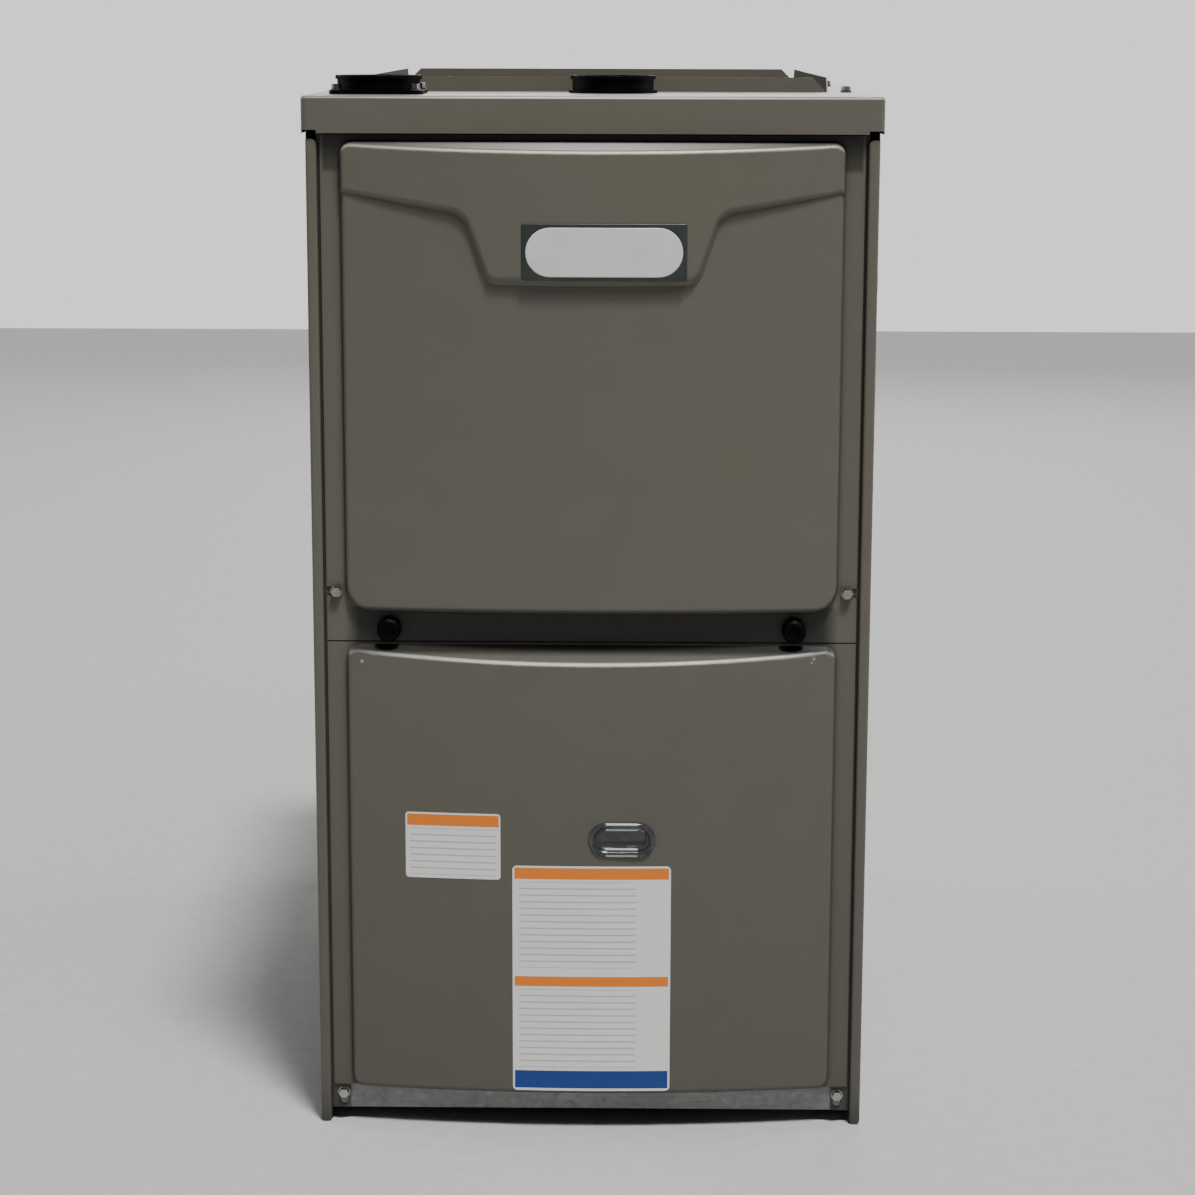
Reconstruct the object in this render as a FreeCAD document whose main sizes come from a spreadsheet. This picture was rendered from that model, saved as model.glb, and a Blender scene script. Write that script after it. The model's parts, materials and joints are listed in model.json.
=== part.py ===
import FreeCAD, Part
import math
import os
import Sketcher

# Upflow condensing gas furnace: a steel cabinet with two bowed front doors, the burner and
# inducer compartment behind the upper door and the blower behind the lower one.
# Millimetres. X to the right, Y to the back, Z up, floor at Z = 0.

doc = FreeCAD.newDocument("GasFurnace")

# Driving dimensions. The cabinet's outside follows from what it has to hold.
DIMENSIONS = [
    # sheet and fits
    ("steel", 1.0),
    ("cut_over", 1.0),
    ("hole_gap", 0.1),
    ("turn_gap", 0.05),
    ("rest_gap", 0.3),
    # cabinet shell
    ("post_face", 9.0),
    ("post_round", 2.6),
    ("post_end_round", 4.5),
    ("post_top_gap", 4.5),
    ("jamb_width", 15.0),
    ("jamb_slot", 3.4),
    ("jamb_slot_rise", 6.0),
    ("foot_width", 20.0),
    ("foot_setback", 30.0),
    ("back_flange", 16.0),
    ("base_height", 10.4),
    ("base_rail", 26.0),
    ("return_side", 33.0),
    ("return_front", 60.0),
    ("return_back", 48.0),
    # top cap and the duct opening in it
    ("cap_lip", 28.5),
    ("cap_overhang", 3.0),
    ("cap_round", 5.0),
    ("cap_step", 2.5),
    ("cap_margin", 17.85),
    ("cap_screw_inset", 15.0),
    ("cap_screw_length", 12.0),
    ("duct_side", 31.0),
    ("duct_setback", 6.0),
    ("duct_depth", 494.0),
    ("duct_back", 40.0),
    ("duct_flange", 12.0),
    # doors
    ("door_sheet", 1.0),
    ("door_recess", 4.0),
    ("door_clearance", 0.5),
    ("door_side_gap", 2.0),
    ("door_flange", 16.0),
    ("seam_gap", 1.0),
    ("lip_gap", 5.5),
    ("lip_clear", 1.0),
    ("handle_recess", 24.5),
    ("pan_edge", 4.6),
    ("pan_depth", 6.0),
    ("upper_fall", 7.4),
    ("lower_fall", 12.7),
    ("lean_run", 24.0),
    ("pan_bow", 12.0),
    ("lower_bow", 16.0),
    ("lower_drop", 2.0),
    ("lower_door_rise", 21.1),
    ("small_corner", 9.0),
    ("large_corner", 22.0),
    # raised shield on the upper door
    ("shield_depth", 8.0),
    ("shield_bow", 16.0),
    ("shield_edge", 4.0),
    ("shield_slope", 6.5),
    ("shield_side", 42.2),
    ("shield_shoulder", 57.2),
    ("shield_low", 111.5),
    ("shoulder_half", 103.0),
    ("shield_half", 84.0),
    ("shield_round", 14.0),
    # badge, sight window, knobs and screws
    ("badge_width", 128.0),
    ("badge_height", 44.0),
    ("badge_centre", 9.5),
    ("badge_rise", 5.0),
    ("badge_thick", 1.2),
    ("window_width", 53.5),
    ("window_height", 28.0),
    ("window_frame", 3.5),
    ("window_lip", 1.6),
    ("window_plug", 4.0),
    ("window_across", 25.0),
    ("window_drop", 158.3),
    ("knob_inset", 34.0),
    ("knob_rise", 10.4),
    ("knob_radius", 9.5),
    ("knob_length", 10.0),
    ("knob_chamfer", 2.0),
    ("knob_dimple", 5.0),
    ("knob_flute", 1.1),
    ("stud_radius", 4.95),
    ("stud_length", 14.0),
    ("stud_gap", 0.4),
    ("screw_radius", 2.1),
    ("screw_head", 5.0),
    ("screw_washer", 1.2),
    ("screw_rise", 4.0),
    ("screw_inset", 19.0),
    ("door_screw_rise", 40.9),
    ("door_screw_length", 16.0),
    ("notch_gap", 1.4),
    ("base_screw_rise", 13.6),
    ("base_screw_length", 14.0),
    # vent and air collars
    ("pipe_outer", 30.15),
    ("pipe_wall", 3.9),
    ("pipe_gap", 0.15),
    ("pipe_room", 94.0),
    ("collar_wall", 3.0),
    ("collar_bead", 1.5),
    ("collar_bead_rise", 3.0),
    ("collar_drop", 26.0),
    ("collar_stop_top", 10.0),
    ("collar_stop", 3.0),
    ("collar_hole_gap", 0.3),
    ("plate_margin", 3.85),
    ("plate_thick", 3.0),
    ("plate_corner", 8.0),
    ("plate_screw_inset", 6.0),
    ("exhaust_gap", 28.85),
    ("exhaust_rise", 14.5),
    ("elbow_gap", 18.0),
    ("intake_across", 15.0),
    ("intake_setback", 58.0),
    ("intake_clearance", 4.85),
    ("intake_rise", 14.0),
    ("intake_ring", 2.5),
    # burners and gas train
    ("burner_pitch", 54.0),
    ("box_side", 32.0),
    ("box_gap", 37.4),
    ("box_setback", 72.0),
    ("burner_box_rise", 104.0),
    ("cover_margin", 8.0),
    ("burner_setback", 12.0),
    ("burner_gap", 2.0),
    ("bell_radius", 14.0),
    ("bell_length", 12.0),
    ("throat_radius", 9.5),
    ("burner_wall", 1.5),
    ("burner_foot", 4.0),
    ("spud_radius", 5.0),
    ("spud_bore", 1.2),
    ("spud_depth", 5.0),
    ("spud_reach", 4.0),
    ("manifold_radius", 11.0),
    ("manifold_gap", 2.0),
    ("manifold_end", 18.0),
    ("valve_gap", 14.0),
    ("valve_width", 52.0),
    ("valve_half_depth", 29.0),
    ("valve_half_rise", 34.0),
    ("valve_corner", 5.0),
    ("valve_boss", 17.0),
    ("valve_boss_length", 12.0),
    ("gas_thread", 10.4),
    ("gas_thread_depth", 20.0),
    ("valve_knob_rise", 14.0),
    ("valve_knob_radius", 12.0),
    ("valve_knob_thick", 6.0),
    ("valve_stem", 4.95),
    ("valve_stem_depth", 6.0),
    ("valve_grip_width", 5.0),
    ("valve_grip_half", 10.0),
    ("valve_grip_reach", 13.0),
    ("grommet_bore", 17.0),
    ("grommet_groove", 20.0),
    ("grommet_rim", 24.0),
    ("grommet_lip", 2.9),
    # igniter and safety switches
    ("igniter_drop", 22.0),
    ("igniter_setback", 28.0),
    ("igniter_block", 12.0),
    ("igniter_block_length", 23.0),
    ("igniter_tip", 16.0),
    ("sensor_radius", 5.0),
    ("sensor_rod", 1.6),
    ("disc_radius", 9.0),
    ("disc_depth", 14.0),
    ("disc_ear", 16.0),
    ("disc_ear_half", 6.0),
    ("disc_ear_thick", 1.5),
    ("rollout_inset", 30.0),
    ("rollout_setback", 28.0),
    # cold end header, inducer and drain
    ("header_clearance", 18.0),
    ("header_side", 27.0),
    ("header_setback", 118.0),
    ("header_wall", 3.0),
    ("header_corner", 10.0),
    ("window_margin", 14.0),
    ("window_top_margin", 6.0),
    ("inducer_across", 20.0),
    ("inducer_radius", 66.0),
    ("inducer_rise", 95.4),
    ("inducer_setback", 46.0),
    ("inducer_wall", 3.0),
    ("inducer_eye", 26.0),
    ("inducer_spout", 24.0),
    ("spout_socket", 14.0),
    ("spout_drop", 4.0),
    ("inducer_seat", 6.0),
    ("inducer_shaft", 4.0),
    ("inducer_motor", 40.0),
    ("inducer_motor_setback", 14.0),
    ("motor_flange", 4.0),
    ("motor_bevel", 5.0),
    ("shaft_inset", 2.0),
    ("fan_gap", 18.5),
    ("fan_start_gap", 12.0),
    ("fan_end_gap", 10.0),
    ("fan_sheet", 1.5),
    ("fan_hub", 11.0),
    ("fan_hub_length", 10.0),
    ("paddle_width", 24.0),
    ("trap_inset", 30.0),
    ("trap_width", 60.0),
    ("trap_rise", 62.0),
    ("trap_setback", 60.0),
    ("trap_corner", 8.0),
    ("drain_radius", 9.0),
    ("drain_bore", 6.5),
    ("drain_length", 21.0),
    ("drain_rise", 16.0),
    ("switch_side", 34.0),
    ("switch_drop", 10.0),
    ("switch_radius", 27.0),
    ("switch_inner", 24.0),
    ("switch_depth", 26.0),
    ("switch_rim", 8.0),
    ("port_radius", 3.0),
    ("port_setback", 12.0),
    ("port_low", 36.0),
    ("port_length", 14.0),
    ("hose_radius", 5.0),
    ("hose_bend", 16.0),
    ("hose_rise", 90.0),
    ("hose_lap", 8.0),
    # heat exchanger
    ("tube_radius", 19.0),
    ("tube_wall", 1.2),
    ("tube_pitch", 70.0),
    ("tube_clearance", 18.4),
    ("front_turn", 76.0),
    ("bend_reach", 16.0),
    ("coil_seat", 6.0),
    ("coil_rise", 84.0),
    ("coil_side", 10.0),
    ("coil_core", 14.0),
    ("coil_end", 3.0),
    ("rear_setback", 92.0),
    ("rear_depth", 42.0),
    ("rear_margin", 12.0),
    ("rear_wall", 2.0),
    ("rear_corner", 8.0),
    # blower
    ("blower_clearance", 62.6),
    ("blower_shift", 18.0),
    ("outlet_rise", 192.6),
    ("scroll_width", 246.0),
    ("scroll_start", 140.0),
    ("scroll_growth", 12.0),
    ("scroll_sheet", 1.2),
    ("tongue_reach", 50.0),
    ("wheel_gap", 13.0),
    ("wheel_side_gap", 21.5),
    ("wheel_ring", 4.0),
    ("blade_chord", 13.0),
    ("blade_sheet", 1.0),
    ("wheel_hub", 21.0),
    ("wheel_hub_length", 24.0),
    ("wheel_disc_shift", 6.0),
    ("inlet_lap", 14.0),
    ("shaft_radius", 6.35),
    ("shaft_overhang", 24.0),
    ("motor_radius", 62.0),
    ("motor_shoulder", 14.0),
    ("motor_shoulder_length", 8.0),
    ("motor_start", 20.0),
    ("motor_length", 118.0),
    ("band_sheet", 2.0),
    ("band_width", 26.0),
    ("band_lap", 12.0),
    ("arm_width", 18.0),
    ("arm_sheet", 3.0),
    ("arm_lap", 6.0),
    ("rail_overhang", 40.0),
    ("rail_width", 21.0),
    ("rail_rise", 26.0),
    ("rail_sheet", 1.5),
    ("rail_gap", 0.5),
    ("deck_lip", 22.0),
    # controls
    ("panel_setback", 70.0),
    ("panel_left", 95.0),
    ("panel_right", 120.0),
    ("panel_drop", 72.0),
    ("panel_flange", 24.0),
    ("board_half", 75.0),
    ("board_half_rise", 56.0),
    ("board_thick", 1.6),
    ("standoff_length", 8.0),
    ("standoff_radius", 3.0),
    ("standoff_inset", 7.0),
    ("transformer_gap", 6.0),
    ("transformer_depth", 34.0),
    ("transformer_half_rise", 29.0),
    ("winding_proud", 10.0),
    ("winding_inset", 4.0),
    ("winding_drop", 10.0),
    ("door_switch_inset", 18.0),
    ("door_switch_drop", 26.0),
    ("door_switch_half", 12.0),
    ("door_switch_setback", 14.0),
    ("door_switch_depth", 32.0),
    ("plunger_radius", 3.5),
    ("plunger_bore_depth", 19.0),
    ("plunger_sunk", 13.0),
    ("power_drop", 71.6),
    ("power_radius", 11.1),
    ("junction_setback", 15.0),
    ("junction_depth", 70.0),
    ("junction_half_rise", 35.0),
    ("junction_width", 50.0),
    ("junction_lap", 2.0),
]

sheet = doc.addObject("Spreadsheet::Sheet", "Dimensions")
for row, (alias, value) in enumerate(DIMENSIONS, start=1):
    sheet.set("A%d" % row, alias)
    sheet.set("B%d" % row, str(value))
    sheet.setAlias("B%d" % row, alias)
doc.recompute()


class Size:
    """A length that keeps its value and the sheet formula it follows from."""

    def __init__(self, value, text):
        self.value = value
        self.text = text

    def __float__(self):
        return self.value

    def __add__(self, other):
        other = as_size(other)
        return Size(self.value + other.value, "(%s + %s)" % (self.text, other.text))

    def __sub__(self, other):
        other = as_size(other)
        return Size(self.value - other.value, "(%s - %s)" % (self.text, other.text))

    def __mul__(self, other):
        other = as_size(other)
        return Size(self.value * other.value, "(%s * %s)" % (self.text, other.text))

    def __truediv__(self, other):
        other = as_size(other)
        return Size(self.value / other.value, "(%s / %s)" % (self.text, other.text))

    def __radd__(self, other):
        return as_size(other) + self

    def __rsub__(self, other):
        return as_size(other) - self

    def __rmul__(self, other):
        return as_size(other) * self

    def __neg__(self):
        return Size(-self.value, "(0 - %s)" % self.text)

    def root(self):
        return Size(math.sqrt(self.value), "sqrt(%s)" % self.text)


def as_size(item):
    if isinstance(item, Size):
        return item
    return Size(float(item), "(%.4f)" % item)


def dim(alias):
    return Size(float(sheet.get(alias)), "Dimensions." + alias)


# Shape builders: every size they are given is bound to the sheet
TURNS = {
    "X": FreeCAD.Rotation(FreeCAD.Vector(0, 1, 0), 90),
    "Y": FreeCAD.Rotation(FreeCAD.Vector(1, 0, 0), -90),
    "Z": FreeCAD.Rotation(),
}
parts = []


def bind(obj, prop, size):
    obj.setExpression(prop, as_size(size).text)


def place(obj, at):
    for axis, size in zip("xyz", at):
        bind(obj, "Placement.Base." + axis, size)


def part(label, obj):
    obj.Label = label
    parts.append(obj)
    return obj


def box(name, x, y, z):
    obj = doc.addObject("Part::Box", name)
    for prop, (low, high) in zip(("Length", "Width", "Height"), (x, y, z)):
        bind(obj, prop, as_size(high) - low)
    place(obj, (x[0], y[0], z[0]))
    return obj


def rod(name, radius, axis, at, length):
    obj = doc.addObject("Part::Cylinder", name)
    obj.Placement = FreeCAD.Placement(FreeCAD.Vector(), TURNS[axis])
    bind(obj, "Radius", radius)
    bind(obj, "Height", length)
    place(obj, at)
    return obj


def fuse(name, *items):
    obj = doc.addObject("Part::MultiFuse", name)
    obj.Shapes = list(items)
    obj.Refine = True
    return obj


def cut(name, base, *tools):
    obj = doc.addObject("Part::Cut", name)
    obj.Base = base
    obj.Tool = tools[0] if len(tools) == 1 else fuse(name + "_tools", *tools)
    obj.Refine = True
    return obj


def common(name, first, second):
    obj = doc.addObject("Part::MultiCommon", name)
    obj.Shapes = [first, second]
    return obj


def group(name, items):
    obj = doc.addObject("Part::Compound", name)
    obj.Links = list(items)
    return obj


def tube(name, outer, inner, axis, at, length):
    return cut(name, rod(name + "_outer", outer, axis, at, length),
               rod(name + "_bore", inner, axis, at, length))


def polygon_sketch(body, plane, points, offset):
    sketch = body.newObject("Sketcher::SketchObject", body.Name + "_sketch")
    support = [item for item in body.Origin.OriginFeatures if item.Role == plane + "_Plane"][0]
    sketch.AttachmentSupport = [(support, "")]
    sketch.MapMode = "FlatFace"
    bind(sketch, "AttachmentOffset.Base.z", offset)
    corners = [FreeCAD.Vector(float(u), float(v), 0) for u, v in points]
    count = len(points)
    for index in range(count):
        sketch.addGeometry(Part.LineSegment(corners[index], corners[(index + 1) % count]), False)
    for index in range(count):
        sketch.addConstraint(Sketcher.Constraint("Coincident", index, 2, (index + 1) % count, 1))
    for index, point in enumerate(points):
        for kind, size in zip(("DistanceX", "DistanceY"), point):
            size = as_size(size)
            rule = sketch.addConstraint(Sketcher.Constraint(kind, -1, 1, index, 1, size.value))
            bind(sketch, "Constraints[%d]" % rule, size)
    return sketch


def prism(name, plane, points, low, high):
    """A padded polygon between two heights along the axis that the plane faces."""
    body = doc.addObject("PartDesign::Body", name)
    offset = -as_size(high) if plane == "XZ" else low
    sketch = polygon_sketch(body, plane, points, offset)
    pad = body.newObject("PartDesign::Pad", name + "_pad")
    pad.Profile = sketch
    bind(pad, "Length", as_size(high) - low)
    doc.recompute()
    return body


def turned(name, points, axis, at):
    """A polygon of (radius, height) points revolved about its own axis."""
    body = doc.addObject("PartDesign::Body", name)
    sketch = polygon_sketch(body, "XZ", points, 0)
    turn = body.newObject("PartDesign::Revolution", name + "_turn")
    turn.Profile = sketch
    turn.ReferenceAxis = (sketch, ["V_Axis"])
    turn.Angle = 360
    body.Placement = FreeCAD.Placement(FreeCAD.Vector(), TURNS[axis])
    place(body, at)
    return body


def edge_names(shape, test):
    return ["Edge%d" % (index + 1) for index, edge in enumerate(shape.Edges) if test(edge)]


def runs_along(edge, axis):
    if not isinstance(edge.Curve, Part.Line):
        return False
    return abs(getattr(edge.Curve.Direction, axis)) > 0.999


def round_body(body, radius, test):
    """Round the edges of a body that pass the test."""
    doc.recompute()
    feature = body.newObject("PartDesign::Fillet", body.Name + "_round")
    base = body.Group[-2]
    feature.Base = (base, edge_names(base.Shape, test))
    bind(feature, "Radius", radius)
    body.Tip = feature
    doc.recompute()
    return body


def round_edges(name, base, rules):
    """Round edges of any object; rules is a list of (radius, test)."""
    doc.recompute()
    obj = doc.addObject("Part::Fillet", name)
    obj.Base = base
    picked = []
    for index, edge in enumerate(base.Shape.Edges):
        for radius, test in rules:
            if test(edge):
                picked.append((index + 1, float(radius), float(radius)))
                break
    obj.Edges = picked
    doc.recompute()
    return obj


def near(value, size):
    return abs(value - float(size)) < 0.02


def slope_edges(name, base, size, test):
    """Bevel the edges of any object that pass the test."""
    doc.recompute()
    obj = doc.addObject("Part::Chamfer", name)
    obj.Base = base
    obj.Edges = [(index + 1, float(size), float(size)) for index, edge in enumerate(base.Shape.Edges)
                 if test(edge)]
    doc.recompute()
    return obj


def span(first, second):
    """Two places along an axis, the lower one first."""
    return sorted((as_size(first), as_size(second)), key=float)


def slat(name, axis, at, radius, angle, lean, size):
    """A flat blade standing on a circle about an axis; size is its chord, thickness and length."""
    obj = doc.addObject("Part::Box", name)
    for prop, value in zip(("Length", "Width", "Height"), size):
        bind(obj, prop, value)
    spot = FreeCAD.Vector(math.cos(math.radians(angle)), math.sin(math.radians(angle)), 0)
    outward = TURNS[axis].multVec(spot)
    turn = FreeCAD.Rotation(FreeCAD.Vector(0, 0, 1), angle + lean)
    obj.Placement = FreeCAD.Placement(FreeCAD.Vector(), TURNS[axis].multiply(turn))
    place(obj, [start + radius * share for start, share in zip(at, outward)])
    return obj


def hex_screw(name, axis_sign, at, shank):
    """A washer-faced hex screw whose head looks along -Y (-1) or up (+1)."""
    washer_thick = dim("screw_washer")
    head_top = washer_thick + dim("screw_rise")
    flats = screw_head * 0.8
    if axis_sign < 0:
        washer = rod(name + "_washer", screw_head, "Y", (at[0], at[1] - washer_thick, at[2]), washer_thick)
        stem = rod(name + "_stem", screw_radius, "Y", at, shank)
        plane, low, high = "XZ", at[1] - head_top, at[1] - washer_thick
        middle = (at[0], at[2])
    else:
        washer = rod(name + "_washer", screw_head, "Z", at, washer_thick)
        stem = rod(name + "_stem", screw_radius, "Z", (at[0], at[1], at[2] - shank), shank)
        plane, low, high = "XY", at[2] + washer_thick, at[2] + head_top
        middle = (at[0], at[1])
    points = [(middle[0] + flats * math.cos(math.radians(60 * step)),
               middle[1] + flats * math.sin(math.radians(60 * step))) for step in range(6)]
    return fuse(name, washer, stem, prism(name + "_head", plane, points, low, high))


# Fits and stock used all over
steel = dim("steel")
over = dim("cut_over")
hole_gap = dim("hole_gap")
turn_gap = dim("turn_gap")
rest_gap = dim("rest_gap")
screw_radius = dim("screw_radius")
screw_head = dim("screw_head")
screw_hole = screw_radius + hole_gap

# Heights: the blower below the deck, then the coil, the tubes and the burner box above it
base_height = dim("base_height")
base_top = base_height + steel
scroll_start = dim("scroll_start")
blower_z = base_top + dim("blower_clearance") + scroll_start
seam = blower_z + dim("outlet_rise")
deck_top = seam
deck_under = deck_top - steel
header_low = deck_top + dim("header_clearance")
coil_low = header_low + dim("coil_seat")
coil_high = coil_low + dim("coil_rise")
tube_radius = dim("tube_radius")
tube_pitch = dim("tube_pitch")
burner_up = coil_high + dim("tube_clearance") + tube_radius + 2 * tube_pitch
box_low = burner_up - dim("burner_box_rise") / 2
box_high = burner_up + dim("burner_box_rise") / 2
header_high = box_low - dim("box_gap")
cabinet_height = box_high + dim("pipe_room")
under_cap = cabinet_height - steel
lip_bottom = cabinet_height - dim("cap_lip")
post_top = lip_bottom - dim("post_top_gap")
pan_top = lip_bottom - dim("lip_gap")
upper_bottom = seam + dim("seam_gap") / 2
lower_top = seam - dim("seam_gap") / 2
lower_low = base_height + dim("lower_door_rise")
knob_up = seam + dim("knob_rise")
door_screw_up = seam + dim("door_screw_rise")
base_screw_up = base_height + dim("base_screw_rise")
window_z = seam - dim("window_drop")
power_up = seam - dim("power_drop")
inducer_z = header_low + dim("inducer_rise")

# Widths: the burner box, the vent pipe beside it, then the cabinet around both
burner_x = [dim("burner_pitch") * step for step in (-1.5, -0.5, 0.5, 1.5)]
box_half = burner_x[-1] + dim("box_side")
pipe_outer = dim("pipe_outer")
pipe_bore = pipe_outer - dim("pipe_wall")
collar_bore = pipe_outer + dim("pipe_gap")
collar_outer = pipe_outer + dim("collar_wall")
exhaust_across = box_half + pipe_outer + dim("exhaust_gap")
half_width = exhaust_across + collar_outer + dim("cap_margin")
inside_half = half_width - steel
post_face = dim("post_face")
jamb_edge = half_width - post_face - dim("jamb_width")
flange_half = half_width - post_face - dim("door_side_gap")
pan_half = flange_half - dim("door_flange")
screw_across = half_width - dim("screw_inset")
knob_across = pan_half - dim("knob_inset")
duct_half = half_width - dim("duct_side")
header_half = box_half + dim("header_side")
coil_half = header_half + dim("coil_side")
inducer_x = dim("inducer_across")
inducer_radius = dim("inducer_radius")
window_x = dim("window_across")

# Depths: the vestibule holds the burner box and the intake pipe, the duct stands behind it
vestibule_depth = dim("box_setback") + dim("intake_setback") + pipe_outer + dim("intake_clearance")
duct_front = vestibule_depth + dim("duct_setback")
cabinet_depth = duct_front + dim("duct_depth") + dim("duct_back")
cap_overhang = dim("cap_overhang")
door_sheet = dim("door_sheet")
door_proud = dim("shield_depth") + dim("shield_bow") - dim("door_recess")
front = (door_proud + dim("badge_thick") - cabinet_depth - cap_overhang) / 2
back = front + cabinet_depth
back_flange_front = back - dim("back_flange")
door_face = front + dim("door_recess")
door_back = door_face + door_sheet
jamb_front = door_back + dim("door_clearance")
jamb_back = jamb_front + steel
vestibule = front + vestibule_depth
vestibule_back = vestibule + steel
duct_low = front + duct_front
duct_high = duct_low + dim("duct_depth")
duct_middle = (duct_low + duct_high) / 2
box_front = front + dim("box_setback")
gas_y = box_front - dim("manifold_radius") - dim("manifold_gap")
header_front = front + dim("header_setback")
inducer_front = front + dim("inducer_setback")
exhaust_at = (-exhaust_across, (inducer_front + header_front) / 2)
intake_at = (dim("intake_across"), box_front + dim("intake_setback"))
power_y = front + dim("junction_setback") + dim("junction_depth") / 2
blower_y = duct_middle - dim("blower_shift")


# Cabinet shell
def end_rounder(name, x, z, side, down):
    """Removes the square corner of a post end, leaving a quarter round."""
    radius = dim("post_end_round")
    x_centre = x - side * radius
    z_centre = z + radius if down else z - radius
    block = box(name + "_block", span(x, x_centre), (front - over, jamb_front), span(z, z_centre))
    return cut(name, block, rod(name + "_rod", radius, "Y", (x_centre, front - over, z_centre),
                                jamb_front - front + over))


def side_panel(label, side, extra_holes):
    """One cabinet side with its folded front post, door jamb and foot flange; side is -1 or 1."""
    outer = side * half_width
    inner = side * inside_half
    post_in = side * (half_width - post_face)
    post_web = side * (half_width - post_face + steel)
    jamb_in = side * jamb_edge
    profile = [(outer, back), (outer, front), (post_in, front), (post_in, jamb_front),
               (jamb_in, jamb_front), (jamb_in, jamb_back), (post_web, jamb_back),
               (post_web, front + steel), (inner, front + steel), (inner, back)]
    skin = prism(label + "_skin", "XY", profile, 0, under_cap)
    round_body(skin, dim("post_round"), lambda edge: runs_along(edge, "z")
               and near(edge.Vertexes[0].Y, front))
    foot = box(label + "_foot", span(outer, side * (half_width - dim("foot_width"))),
               (front + dim("foot_setback"), back - steel), (0, steel))
    above_post = box(label + "_above_post", span(outer + side * over, post_in - side * hole_gap),
                     (front - over, jamb_front), (post_top, under_cap))
    through_jamb = (jamb_front - over, jamb_back + over)
    below_jamb = box(label + "_below_jamb", span(post_in, jamb_in), through_jamb, (0, base_height))
    slot_x = side * screw_across
    slot_low = base_height + dim("jamb_slot_rise")
    slot_r = dim("jamb_slot")
    slot_box = box(label + "_slot", (slot_x - slot_r, slot_x + slot_r), through_jamb,
                   (slot_low, base_screw_up))
    slot_depth = jamb_back - jamb_front + 2 * over
    ends = [rod(label + "_slot_end%d" % number, slot_r, "Y", (slot_x, jamb_front - over, height),
                slot_depth)
            for number, height in enumerate((slot_low, base_screw_up))]
    door_hole = rod(label + "_screw_hole", screw_hole, "Y",
                    (slot_x, jamb_front - over, door_screw_up), slot_depth)
    rounders = [end_rounder(label + "_top_round", post_in, post_top, -side, False),
                end_rounder(label + "_foot_round", post_in, as_size(0), -side, True),
                end_rounder(label + "_toe_round", outer, as_size(0), side, True)]
    whole = fuse(label + "_whole", skin, foot)
    return part(label, cut(label + "_body", whole, above_post, below_jamb, slot_box, door_hole,
                           *ends, *rounders, *extra_holes))


through_side = inside_half - over
side_drill = steel + 2 * over
gas_hole = rod("gas_hole", dim("grommet_groove") + hole_gap, "X", (through_side, gas_y, burner_up),
               side_drill)
power_hole = rod("power_hole", dim("power_radius"), "X", (through_side, power_y, power_up), side_drill)
side_panel("left_side_panel", -1, [])
side_panel("right_side_panel", 1, [gas_hole, power_hole])

back_sheet = box("back_sheet", (-inside_half, inside_half), (back - steel, back), (0, under_cap))
back_flanges = [box("back_flange_sheet", span(side * inside_half, side * (inside_half - steel)),
                    (back_flange_front, back), (steel, under_cap)) for side in (-1, 1)]
part("back_panel", fuse("back_whole", back_sheet, *back_flanges))

# Top cap with a turned-down lip, the duct opening and its upturned flanges
lip_x = half_width + cap_overhang
lip_front = front - cap_overhang
lip_back = back + cap_overhang
cap_block = box("cap_block", (-lip_x, lip_x), (lip_front, lip_back), (lip_bottom, cabinet_height))
cap_round = dim("cap_round")


def cap_corner(edge, half, front_y, back_y):
    if not runs_along(edge, "z"):
        return False
    return near(abs(edge.Vertexes[0].X), half) and (near(edge.Vertexes[0].Y, front_y)
                                                    or near(edge.Vertexes[0].Y, back_y))


def cap_rim(edge, top):
    return near(edge.BoundBox.ZMin, top) and near(edge.BoundBox.ZMax, top)


cap_cornered = round_edges("cap_cornered", cap_block,
                           [(cap_round, lambda edge: cap_corner(edge, lip_x, lip_front, lip_back))])
cap_outer = round_edges("cap_outer", cap_cornered,
                        [(cap_round / 2, lambda edge: cap_rim(edge, cabinet_height))])
hollow_block = box("hollow_block", (steel - lip_x, lip_x - steel), (lip_front + steel, lip_back - steel),
                   (lip_bottom - over, under_cap))
cap_hollow = round_edges("cap_hollow", hollow_block,
                         [(cap_round - steel,
                           lambda edge: cap_corner(edge, lip_x - steel, lip_front + steel,
                                                   lip_back - steel))])
cap_drill = steel + 2 * over
duct_hole = box("duct_hole", (-duct_half, duct_half), (duct_low, duct_high),
                (under_cap - over, cabinet_height + over))
collar_holes = [rod("collar_hole", collar_outer + dim("collar_hole_gap"), "Z", (x, y, under_cap - over),
                    cap_drill)
                for x, y in (exhaust_at, intake_at)]
step_boxes = [box("lip_step", span(side * (lip_x + over), side * (half_width - post_face)),
                  (lip_front - over, front), (lip_bottom - over, lip_bottom + dim("cap_step")))
              for side in (-1, 1)]
duct_flange = dim("duct_flange")
flange_top = cabinet_height + duct_flange


def flange_outline(low, high):
    """An upturned flange with cut-away corners, from under the cap to its top."""
    return [(low, under_cap), (high, under_cap), (high, cabinet_height), (high - duct_flange, flange_top),
            (low + duct_flange, flange_top), (low, cabinet_height)]


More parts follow.
